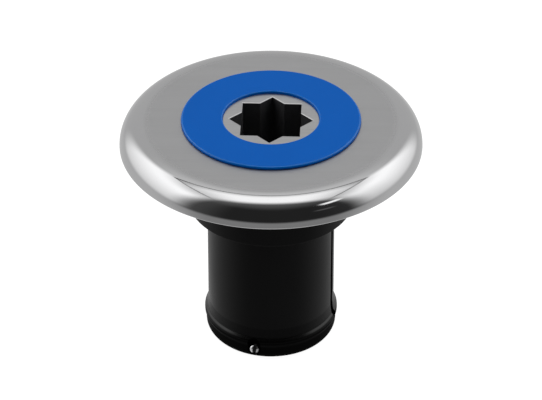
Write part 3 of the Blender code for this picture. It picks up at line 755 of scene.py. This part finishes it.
def fixing_holes():
    """Four countersunk holes for the deck screws, under the trim."""
    sink_low_z = BODY_FLANGE_TOP_Z - FIXING_SINK_DEPTH
    sink_high_z = BODY_FLANGE_TOP_Z + 0.3 * MM
    tools = []
    for i in range(4):
        spin = Matrix.Rotation(math.pi / 2 * (i + 0.5), 4, "Z")
        spot = spin @ Matrix.Translation((FIXING_CIRCLE_R, 0.0, 0.0))
        hole = drill(FIXING_HOLE_R, DECK_Z - MM, TOP_Z)
        sink = drill(FIXING_HOLE_R, sink_low_z, sink_high_z, FIXING_SINK_R)
        tools += [place(hole, spot), place(sink, spot)]
    return tools


def vent_groove():
    """The narrow groove that runs down the tail from the collar."""
    flat = rectangle((VENT_FLOOR_R, -VENT_HALF_W), (VENT_CLEAR_R, VENT_HALF_W), 0.25 * MM)
    groove = prism(flat, VENT_LOW_Z, COLLAR_BOTTOM_Z - 0.05 * MM)
    return place(groove, Matrix.Rotation(VENT_ANGLE, 4, "Z"))


def anchor_recess():
    """A slot with two round ends for the anchor screw's head, and the hole for its shank."""
    round_z = RECESS_TOP_Z - RECESS_HALF_W
    low = (-round_z - RECESS_HALF_W, -RECESS_HALF_W)
    high = (-ANCHOR_Z + RECESS_HALF_W, RECESS_HALF_W)
    flat = rectangle(low, high, RECESS_HALF_W - HOLD)
    slot = place(prism(flat, RECESS_FLOOR, COLLAR_R), outwards(ANCHOR_ANGLE, 0.0))
    hole = drill(ANCHOR_HOLE_R, TAIL_BORE_R - MM, TAIL_R)
    return [slot, place(hole, outwards(ANCHOR_ANGLE, ANCHOR_Z))]


def make_o_ring(node):
    """A rubber cord ring with the fine flash line that its mould leaves outside and inside."""
    low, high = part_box(node)
    cord_r = (high.z - low.z) / 2
    centre = (high.x - cord_r, (high.z + low.z) / 2)
    facets = 40
    flash_h = 0.03 * MM
    outline = []
    for i in range(facets):
        angle = 2 * math.pi * i / facets
        r = cord_r if i in (0, facets // 2) else cord_r - flash_h
        outline.append((centre[0] + r * math.cos(angle), centre[1] + r * math.sin(angle)))
    return turned(node, outline, CORD_STEPS)


def make_gasket():
    low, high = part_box("deck_gasket")
    corners = tube_corners(GASKET_INNER_R, high.x, low.z, high.z, 0.2 * MM)
    return turned("gasket", rounded(corners))


# Pieces of the cap

def make_plug():
    pad_r = RING_INNER_R - 0.2 * MM
    pad_z = PLATE_LOW_Z - 0.02 * MM
    core_r = 17.4 * MM
    core_top_z = 70.0 * MM
    socket_r = 15.0 * MM
    shoulder_z = NECK_TOP_Z + 0.4 * MM
    corners = [
        (0.0, pad_z, 0.0),
        (pad_r, pad_z, 0.1 * MM),
        (pad_r, PLUG_TOP_Z, 0.1 * MM),
        (PLUG_HEAD_R, PLUG_TOP_Z, 0.3 * MM),
        (PLUG_HEAD_R, shoulder_z, 0.3 * MM),
        (THREAD_R, shoulder_z, 0.3 * MM),
        (THREAD_R, PLUG_BOTTOM_Z, 0.6 * MM),
        (core_r, PLUG_BOTTOM_Z, 0.4 * MM),
        (core_r, core_top_z, 0.5 * MM),
        (socket_r, core_top_z, 0.5 * MM),
        (socket_r, PLUG_BOTTOM_Z, 0.4 * MM),
        (BOSS_R, PLUG_BOTTOM_Z, 0.5 * MM),
        (BOSS_R, BOSS_BOTTOM_Z, 0.4 * MM),
        (0.0, BOSS_BOTTOM_Z, 0.0),
    ]
    plug = turned("plug", rounded(corners, closed=False), closed=False)
    root_r, crest_r = THREAD_R - THREAD_ROOT, THREAD_R + THREAD_H
    ridge = helix(root_r, crest_r, 0.0, THREAD_BOTTOM_Z, THREAD_TURNS, 0.0)
    join(plug, ridge, *plug_ribs(socket_r, core_r, core_top_z))
    opening = star(SOCKET_FLATS + SOCKET_WEAR, 0.2 * MM, 0.3 * MM)
    socket = prism(opening, SOCKET_FLOOR_Z, TOP_Z)
    screw_hole_depth = 5.1 * MM
    hole = drill(SWIVEL_HOLE_R, BOSS_BOTTOM_Z - MM, BOSS_BOTTOM_Z + screw_hole_depth)
    return cut(plug, socket, hole)


def plug_ribs(inner_r, outer_r, top_z):
    """Four ribs across the gap between the socket's wall and the threaded one."""
    half_w = 0.75 * MM
    bite = 0.3 * MM  # how far they reach into the walls
    flat = rectangle((inner_r - bite, -half_w), (outer_r + bite, half_w), 0.0)
    ribs = []
    for i in range(4):
        rib = prism(flat, PLUG_BOTTOM_Z + 2 * MM, top_z + bite)
        ribs.append(place(rib, Matrix.Rotation(math.pi / 2 * (i + 0.5), 4, "Z")))
    return ribs


def make_ring():
    low_z = bottom_of("colour_ring")
    high_z = top_of("colour_ring")
    corners = [
        (RING_INNER_R, high_z, 0.5 * MM),
        (RING_R, high_z, 0.75 * MM),
        (RING_R, TOP_Z + 0.25 * MM, 0.15 * MM),
        (RING_FOOT_R, TOP_Z - 0.15 * MM, 0.08 * MM),
        (RING_FOOT_R, low_z, 0.1 * MM),
        (RING_INNER_R, low_z, 0.1 * MM),
    ]
    return turned("ring", rounded(corners), SHOWN_STEPS)


def star_rings(bm):
    """Rings of vertices down the star's chamfer and its worn wall."""
    chamfer = 0.45 * MM
    chamfer_h = 0.12 * MM
    wear = 0.24 * MM
    corners = [
        (chamfer + MM, PLATE_TOP_Z, 0.0),
        (chamfer, PLATE_TOP_Z, 0.15 * MM),
        (wear, PLATE_TOP_Z - chamfer_h, 0.04 * MM),
        (wear, PLATE_LOW_Z, 0.0),
    ]
    rings = []
    for offset, z in rounded(corners, closed=False)[1:]:
        outline = star(SOCKET_FLATS + 2 * offset, 0.06 * MM, 0.1 * MM)
        rings.append([bm.verts.new((p.x, p.y, z)) for p in outline])
    return rings


def rim_rings(bm, rim_r):
    """Rings of vertices down the plate's rounded round edge."""
    corners = [
        (0.0, PLATE_TOP_Z, 0.0),
        (rim_r, PLATE_TOP_Z, 0.06 * MM),
        (rim_r, PLATE_LOW_Z, 0.06 * MM),
        (0.0, PLATE_LOW_Z, 0.0),
    ]
    spokes = [2 * math.pi * i / TURN_STEPS for i in range(TURN_STEPS)]
    rings = []
    for r, z in rounded(corners, closed=False)[1:-1]:
        rings.append([bm.verts.new((r * math.cos(a), r * math.sin(a), z)) for a in spokes])
    return rings


def make_plate():
    """The star plate: stamped sheet whose star has a shallow chamfer round its upper edge."""
    bm = bmesh.new()
    hole_rings = star_rings(bm)
    edge_rings = rim_rings(bm, RING_INNER_R - 0.06 * MM)
    for rings in (hole_rings, edge_rings):
        for upper, lower in zip(rings, rings[1:]):
            for i in range(len(upper)):
                k = (i + 1) % len(upper)
                bm.faces.new((upper[i], upper[k], lower[k], lower[i]))
    for level in (0, -1):
        loops = hole_rings[level] + edge_rings[level]
        rim = {edge for vert in loops for edge in vert.link_edges
               if edge.is_boundary and edge.other_vert(vert) in loops}
        bmesh.ops.triangle_fill(bm, use_beauty=True, edges=list(rim))
    return finished("plate", bm)


# The chain's swivel under the cap

def make_swivel_screw():
    """A pan-head screw with a cross recess, hanging head down."""
    low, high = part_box("swivel_screw")
    head_top_z = low.z + 1.9 * MM
    head_edge_z = low.z + 1.0 * MM
    face_r = 2.3 * MM
    corners = [
        (0.0, high.z, 0.0),
        (SWIVEL_SHANK_R, high.z, 0.3 * MM),
        (SWIVEL_SHANK_R, head_top_z, 0.2 * MM),
        (high.x, head_top_z, 0.15 * MM),
        (high.x, head_edge_z, 0.3 * MM),
        (face_r, low.z, 0.8 * MM),
        (0.0, low.z, 0.0),
    ]
    screw = turned("screw", rounded(corners, closed=False), SMALL_STEPS, closed=False)
    reach, half_w = 2.2 * MM, 0.35 * MM
    arms = []
    for size in ((reach, half_w), (half_w, reach)):
        flat = rectangle((-size[0], -size[1]), size, 0.15 * MM)
        arms.append(prism(flat, low.z - MM, low.z + MM))
    return cut(screw, *arms)


def make_swivel_washer():
    low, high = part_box("swivel_washer")
    corners = tube_corners(SWIVEL_HOLE_R, high.x, low.z, high.z, 0.12 * MM)
    return turned("washer", rounded(corners), SMALL_STEPS)


def clasp(radius, low_z, high_z):
    """A short closed tube, rolled over at both ends, that grips a ball of the chain."""
    corners = [
        (0.0, high_z, 0.0),
        (radius, high_z, 0.5 * MM),
        (radius, low_z, 0.5 * MM),
        (0.0, low_z, 0.0),
    ]
    return turned("clasp", rounded(corners, closed=False), SMALL_STEPS, closed=False)


def make_swivel_eyelet():
    low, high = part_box("swivel_eyelet")
    corners = tube_corners(SWIVEL_HOLE_R, high.x, EYELET_LOW_Z, EYELET_TOP_Z, 0.15 * MM)
    eyelet = turned("eyelet", rounded(corners), SMALL_STEPS)
    tab_half_w = 1.5 * MM
    tab_near_y = -3.0 * MM
    flat = rectangle((-tab_half_w, CHAIN_TOP.y), (tab_half_w, tab_near_y), 0.0)
    tab = prism(flat, EYELET_LOW_Z, EYELET_TOP_Z)
    grip = clasp(SWIVEL_CLASP_R, low.z, high.z)
    return join(eyelet, tab, place(grip, Matrix.Translation((0.0, CHAIN_TOP.y, 0.0))))


# Chain

def around_tail(radius, angle, z):
    return Vector((radius * math.cos(angle), radius * math.sin(angle), z))


def chain_route():
    """From the anchor round the inside of the tail's end, then up to the swivel."""
    mouth_angle = ANCHOR_CLASP_ANGLE + (ANCHOR_CLASP_L / 2 + 0.6 * MM) / ANCHOR_CLASP_RADIUS
    route = [around_tail(ANCHOR_CLASP_RADIUS, mouth_angle, ANCHOR_Z)]
    for degrees in range(-62, 181, 22):
        route.append(around_tail(CHAIN_COIL_R, math.radians(degrees), CHAIN_COIL_Z))
    route += [
        Vector((-12.2, -4.2, 2.1)) * MM,
        Vector((-8.6, -6.9, 2.2)) * MM,
        Vector((-4.3, -7.6, 2.9)) * MM,
        Vector((-1.2, -7.4, 5.6)) * MM,
        Vector((-0.1, -7.1, 11.0)) * MM,
        Vector((0.2, -7.0, 20.0)) * MM,
        Vector((0.1, -7.0, 32.0)) * MM,
        CHAIN_TOP,
    ]
    return route


def smooth_route(points, spacing):
    """Points about spacing apart on a smooth curve through the given ones."""
    smooth = [points[0]]
    for i in range(len(points) - 1):
        before = points[max(i - 1, 0)]
        start, end = points[i], points[i + 1]
        after = points[min(i + 2, len(points) - 1)]
        steps = max(1, round((end - start).length / spacing))
        for k in range(1, steps + 1):
            t = k / steps
            pull = (end - before) * (t - 2 * t**2 + t**3) + (after - start) * (t**3 - t**2)
            along = start * (1 - 3 * t**2 + 2 * t**3) + end * (3 * t**2 - 2 * t**3)
            smooth.append(along + pull / 2)
    return smooth


def even_spots(route, spacing):
    """(point, direction) pairs about spacing apart, spread evenly along a fine route."""
    lengths = [0.0]
    for first, second in zip(route, route[1:]):
        lengths.append(lengths[-1] + (second - first).length)
    count = round(lengths[-1] / spacing)
    spots = []
    k = 0
    for i in range(count):
        goal = lengths[-1] * (i + 0.5) / count
        while lengths[k + 1] < goal:
            k += 1
        share = (goal - lengths[k]) / (lengths[k + 1] - lengths[k])
        spots.append((route[k].lerp(route[k + 1], share), (route[k + 1] - route[k]).normalized()))
    return spots


def ball_link():
    """One hollow ball, its necks drawn in round the pin, and the pin to the next ball."""
    ball_r = CHAIN_D / 2
    neck_r = 0.62 * MM
    pin_r = 0.36 * MM
    neck_z = math.sqrt(ball_r**2 - neck_r**2)
    pin_end_z = BALL_PITCH / 2 + 0.1 * MM
    end = [
        (0.0, pin_end_z),
        (pin_r, pin_end_z),
        (pin_r, neck_z - 0.12 * MM),
        (neck_r - 0.1 * MM, neck_z - 0.05 * MM),
    ]
    ball = ellipse((0.0, 0.0), (ball_r, ball_r), 67, -67, steps=14)
    outline = end + ball + [(r, -z) for r, z in reversed(end)]
    return turned("link", outline, LINK_STEPS, closed=False)


def make_chain():
    route = smooth_route(chain_route(), 0.4 * MM)
    link = ball_link()
    bm = bmesh.new()
    for spot, direction in even_spots(route, BALL_PITCH):
        before = len(bm.verts)
        bm.from_mesh(link.data)
        bm.verts.ensure_lookup_table()
        turn = direction.to_track_quat("Z", "Y").to_matrix().to_4x4()
        bmesh.ops.transform(bm, matrix=Matrix.Translation(spot) @ turn, verts=bm.verts[before:])
    bpy.data.objects.remove(link)
    return finished("chain", bm)


# Chain anchor

def make_anchor_screw():
    """A small slotted screw with a domed head, lying out along the tail's radius."""
    head_r = 1.82 * MM
    seat, crown = 19.0 * MM, 20.8 * MM
    dome_h = 1.6 * MM
    shank_r = 1.0 * MM
    tip = 12.4 * MM
    outline = ellipse((0.0, crown - dome_h), (head_r, dome_h), 90, 0, steps=16)
    foot = [
        (head_r, crown - dome_h, 0.0),
        (head_r, seat, 0.08 * MM),
        (shank_r, seat, 0.15 * MM),
        (shank_r, tip, 0.25 * MM),
        (0.0, tip, 0.0),
    ]
    outline += rounded(foot, closed=False)[1:]
    screw = turned("screw", outline, SMALL_STEPS, closed=False)
    slot_reach = 3 * MM
    slot_depth = 1.3 * MM
    flat = rectangle((-slot_reach, -SLOT_HALF_W), (slot_reach, SLOT_HALF_W), 0.0)
    slot = prism(flat, crown - slot_depth, crown + MM)
    cut(screw, place(slot, Matrix.Rotation(SLOT_TURN, 4, "Z")))
    tilt_head(screw, seat - 0.3 * MM, seat + 0.4 * MM)
    return place(screw, outwards(ANCHOR_ANGLE, ANCHOR_Z))


def tilt_head(screw, base, pivot_z):
    """Leans what lies beyond the base about a point on the screw's axis."""
    pivot = Matrix.Translation((0.0, 0.0, pivot_z))
    lean = pivot @ Matrix.Rotation(-HEAD_LEAN, 4, "X") @ pivot.inverted()
    for vert in screw.data.vertices:
        if vert.co.z > base:
            vert.co = lean @ vert.co


def make_anchor_washer():
    low, high = 15.2 * MM, 15.7 * MM
    outer_r = 2.2 * MM
    corners = tube_corners(ANCHOR_HOLE_R, outer_r, low, high, 0.1 * MM)
    washer = turned("washer", rounded(corners), SMALL_STEPS)
    return place(washer, outwards(ANCHOR_ANGLE, ANCHOR_Z))


def make_anchor_eyelet():
    low, high = 14.2 * MM, 14.9 * MM
    outer_r = 2.1 * MM
    corners = tube_corners(ANCHOR_HOLE_R, outer_r, low, high, 0.12 * MM)
    eyelet = turned("eyelet", rounded(corners), SMALL_STEPS)
    tab_half_w = 1.3 * MM
    tab_near, tab_far = 1.6 * MM, 5.4 * MM
    flat = rectangle((-tab_half_w, tab_near), (tab_half_w, tab_far), 0.0)
    tab = prism(flat, low, high)
    outward = outwards(ANCHOR_ANGLE, ANCHOR_Z)
    place(eyelet, outward)
    place(tab, outward)
    grip = clasp(ANCHOR_CLASP_R, -ANCHOR_CLASP_L / 2, ANCHOR_CLASP_L / 2)
    spot = Matrix.Translation(around_tail(ANCHOR_CLASP_RADIUS, ANCHOR_CLASP_ANGLE, ANCHOR_Z))
    lay = Matrix.Rotation(ANCHOR_CLASP_ANGLE, 4, "Z") @ Matrix.Rotation(-math.pi / 2, 4, "X")
    return join(eyelet, tab, place(grip, spot @ lay))


def make_anchor_nut():
    low, high = 12.5 * MM, 13.9 * MM
    flat_r = 2.0 * MM
    corner_r = flat_r / math.cos(math.pi / 6)
    corners = []
    for i in range(6):
        angle = math.pi / 3 * i
        corners.append((corner_r * math.cos(angle), corner_r * math.sin(angle), 0.15 * MM))
    nut = prism(rounded(corners), low, high)
    nut = cut(nut, drill(ANCHOR_HOLE_R - 0.1 * MM, low - MM, high + MM))
    return place(nut, outwards(ANCHOR_ANGLE, ANCHOR_Z))


# Studio

def make_camera():
    data = bpy.data.cameras.new("camera")
    data.sensor_width = CAMERA_SENSOR
    data.lens = CAMERA_LENS
    camera = bpy.data.objects.new("camera", data)
    bpy.context.scene.collection.objects.link(camera)
    back = Vector((0.0, -math.cos(CAMERA_ELEVATION), math.sin(CAMERA_ELEVATION)))
    camera.location = Vector((0.0, 0.0, TOP_Z)) + back * CAMERA_DISTANCE
    aim = Vector((0.0, 0.0, TOP_Z - AIM_DROP))
    camera.rotation_mode = "QUATERNION"
    camera.rotation_quaternion = (aim - camera.location).to_track_quat("-Z", "Y")
    bpy.context.scene.camera = camera


def make_floor():
    """A pale sheet, clear from below, that only the camera sees and that throws no light up."""
    bm = bmesh.new()
    bmesh.ops.create_circle(bm, cap_ends=True, segments=96, radius=FLOOR_R)
    floor = finished("floor", bm)
    floor.location.z = -FLOOR_GAP
    material, shader, nodes = new_material("floor_paper", (0.22, 0.22, 0.22), 0.9, 0.0, 0.0)
    shader.inputs["Emission Color"].default_value = (1.0, 1.0, 1.0, 1.0)
    shader.inputs["Emission Strength"].default_value = FLOOR_GLOW
    clear = nodes.add("ShaderNodeBsdfTransparent")
    backing = nodes.add("ShaderNodeNewGeometry").outputs["Backfacing"]
    blend = nodes.add("ShaderNodeMixShader")
    nodes.feed(blend.inputs[0], backing)
    nodes.feed(blend.inputs[1], shader.outputs[0])
    nodes.feed(blend.inputs[2], clear.outputs[0])
    nodes.feed(material.node_tree.nodes["Material Output"].inputs[0], blend.outputs[0])
    floor.data.materials.append(material)
    floor.visible_diffuse = False
    floor.visible_glossy = False
    floor.visible_shadow = False


# Studio light, in degrees. Azimuth is 0 behind the object, positive to the right and 180 at the
# camera; height is above the horizon; a tilt is from straight up, to the back or to the right.
# A ramp is (low, high, value at low, value at high); a window is (low, high, two softnesses).

FRONT_RISE = (46, 76, 0.022, 0.12)
FRONT_SPILL = (-20, 20, 0.055, 0.012)
FRONT_EDGE = (122, 152)
BACK_WALL = (38, 57, 0.54, 0.73)
BACK_TO_FRONT = (94, 116)
BOX_WIDTH = (43, 112, 9, 13)
BOX_FOOT = (96, 134, 0.6, 0.25)
BOX_START = (-9, 5)
BOX_RISE = (4, 40, 0.0, 0.52)
BOX_TOP = (44, 64, 1.0, 0.55)
BOX_RIGHT = (76, 106, 1.0, 0.84)
GLINT_WIDTH = (114, 134, 5, 4)
GLINT_HEIGHT = (47, 52.5, 1.7, 1.7)
GLINT_LIGHT = 1.5
SPECK_WIDTH = (132, 146, 4, 4)
SPECK_HEIGHT = (27.5, 31.5, 1.8, 1.8)
SPECK_LIGHT = 0.12
HORIZON = (-2, -14)
FLOOR_NEAR = (-41, -62, 0.27, 1.0)
FLOOR_FAR = 0.6
FLOOR_TURN = (84, 140)
SHEET_DEPTH = (-9, 26.5, 8, 0.7)
SHEET_WIDTH = (-26.8, 26.8, 0.8, 0.8)
SHEET_FRONT = (27, 15, 0.85, 1.43)
SHEET_SIDES = (9, 27, 1.0, 0.66)
FRAME_DEPTH = (-9, 28.5, 8, 0.7)
FRAME_WIDTH = (-28.1, 28.1, 0.8, 0.8)
FRAME_LIGHT = 0.12


def wall_light(nodes, azimuth, height):
    """Tall soft boxes left and right, a grey back wall and a dark side where the camera is."""
    aside = nodes.math("ABSOLUTE", azimuth)
    spill = nodes.ramp(azimuth, *FRONT_SPILL)
    front = nodes.math("ADD", nodes.ramp(height, *FRONT_RISE),
                       nodes.ramp(aside, *FRONT_EDGE, spill, 0.0))
    back = nodes.ramp(height, *BACK_WALL)
    wall = nodes.mix(nodes.ramp(aside, *BACK_TO_FRONT), back, front)
    foot = nodes.ramp(aside, *BOX_FOOT)
    rise = nodes.math("ADD", nodes.ramp(height, *BOX_START, foot, 1.0),
                      nodes.ramp(height, *BOX_RISE, smooth=False))
    box_light = nodes.math("MULTIPLY", rise, nodes.ramp(height, *BOX_TOP))
    box_light = nodes.math("MULTIPLY", box_light, nodes.ramp(azimuth, *BOX_RIGHT))
    return nodes.mix(nodes.window(aside, *BOX_WIDTH), wall, box_light)


def floor_light(nodes, azimuth, height):
    """The light thrown up by the ground."""
    turn = nodes.ramp(nodes.math("ABSOLUTE", azimuth), *FLOOR_TURN)
    return nodes.mix(turn, FLOOR_FAR, nodes.ramp(height, *FLOOR_NEAR))


def sheet_light(nodes, tilt_back, tilt_side):
    """The overhead soft box, which dims towards the back and the sides."""
    lean = nodes.math("ABSOLUTE", tilt_side)
    return nodes.math("MULTIPLY", nodes.ramp(tilt_back, *SHEET_FRONT),
                      nodes.ramp(lean, *SHEET_SIDES))


def patch(nodes, light, radiance, across, across_window, along, along_window):
    """Lays another radiance over the light, inside a window each way."""
    mask = nodes.math("MULTIPLY", nodes.window(across, *across_window),
                      nodes.window(along, *along_window))
    return nodes.mix(mask, light, radiance)


def make_studio():
    """Soft boxes left, right and overhead, with a bright glint and a dark speck for the rim."""
    world = bpy.data.worlds.new("studio")
    bpy.context.scene.world = world
    world.use_nodes = True
    nodes = Nodes(world.node_tree)
    x, y, z = nodes.split(nodes.add("ShaderNodeTexCoord").outputs["Generated"])
    degrees = 180 / math.pi
    azimuth = nodes.math("MULTIPLY", nodes.math("ARCTAN2", x, y), degrees)
    height = nodes.math("MULTIPLY", nodes.math("ARCSINE", z), degrees)
    tilt_back = nodes.math("MULTIPLY", nodes.math("ARCTAN2", y, z), degrees)
    tilt_side = nodes.math("MULTIPLY", nodes.math("ARCTAN2", x, z), degrees)
    light = wall_light(nodes, azimuth, height)
    light = patch(nodes, light, GLINT_LIGHT, azimuth, GLINT_WIDTH, height, GLINT_HEIGHT)
    light = patch(nodes, light, SPECK_LIGHT, azimuth, SPECK_WIDTH, height, SPECK_HEIGHT)
    light = nodes.mix(nodes.ramp(height, *HORIZON), light, floor_light(nodes, azimuth, height))
    light = patch(nodes, light, FRAME_LIGHT, tilt_back, FRAME_DEPTH, tilt_side, FRAME_WIDTH)
    sheet = sheet_light(nodes, tilt_back, tilt_side)
    light = patch(nodes, light, sheet, tilt_back, SHEET_DEPTH, tilt_side, SHEET_WIDTH)
    seen = nodes.add("ShaderNodeLightPath").outputs["Is Camera Ray"]
    background = world.node_tree.nodes["Background"]
    nodes.feed(background.inputs["Strength"], nodes.mix(seen, light, 1.0))
    background.inputs["Color"].default_value = (1.0, 1.0, 1.0, 1.0)


def build_pieces():
    """Every visible piece, its material and the CAD node it stands for."""
    body_black = black_nylon("body_nylon")
    # painted light: the plug's nylon is much lighter than the body's, standing in for light inside
    # the deep star socket
    plug_lightened_black = black_nylon("plug_nylon", 0.06)
    hardware = small_steel("hardware_steel")
    rubber = seal_rubber("seal_rubber")
    foam = seal_rubber("gasket_foam", 0.03, 0.75)
    trim_look = trim_steel()
    install(make_trim(), "deck_trim", FITTING, trim_look, "polished_steel", "trim_flange")
    install(make_body(), "tail_body", FITTING, body_black, "black_nylon", "filler_body")
    install(make_o_ring("trim_grip_ring"), "grip_ring", FITTING, rubber, "seal_rubber",
            "trim_grip_ring")
    install(make_gasket(), "foam_gasket", FITTING, foam, "seal_rubber", "deck_gasket")
    install(make_anchor_screw(), "slotted_screw", FITTING, screw_steel(), "small_steel",
            "anchor_screw")
    install(make_anchor_washer(), "screw_washer", FITTING, hardware, "small_steel", "anchor_washer")
    install(make_anchor_eyelet(), "chain_eyelet", FITTING, hardware, "small_steel", "anchor_eyelet")
    install(make_anchor_nut(), "screw_nut", FITTING, hardware, "small_steel", "anchor_nut")
    install(make_plug(), "threaded_plug", LID, plug_lightened_black, "black_nylon", "lid_plug")
    install(make_ring(), "blue_ring", LID, blue_plastic(), "blue_plastic", "colour_ring")
    install(make_plate(), "socket_plate", LID, plate_steel(), "satin_steel", "star_plate")
    install(make_o_ring("lid_o_ring"), "cap_seal", LID, rubber, "seal_rubber", "lid_o_ring")
    install(make_swivel_screw(), "swivel_pin", LID, hardware, "small_steel", "swivel_screw")
    install(make_swivel_washer(), "swivel_disc", LID, hardware, "small_steel", "swivel_washer")
    install(make_swivel_eyelet(), "swivel_tab", SWIVEL, hardware, "small_steel", "swivel_eyelet")
    chain = install(make_chain(), "ball_chain", None, small_steel("chain_steel", 0.2),
                    "small_steel", "retaining_chain")
    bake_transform(chain)


make_camera()
make_floor()
make_studio()
build_pieces()
bpy.context.scene.view_settings.view_transform = "Standard"
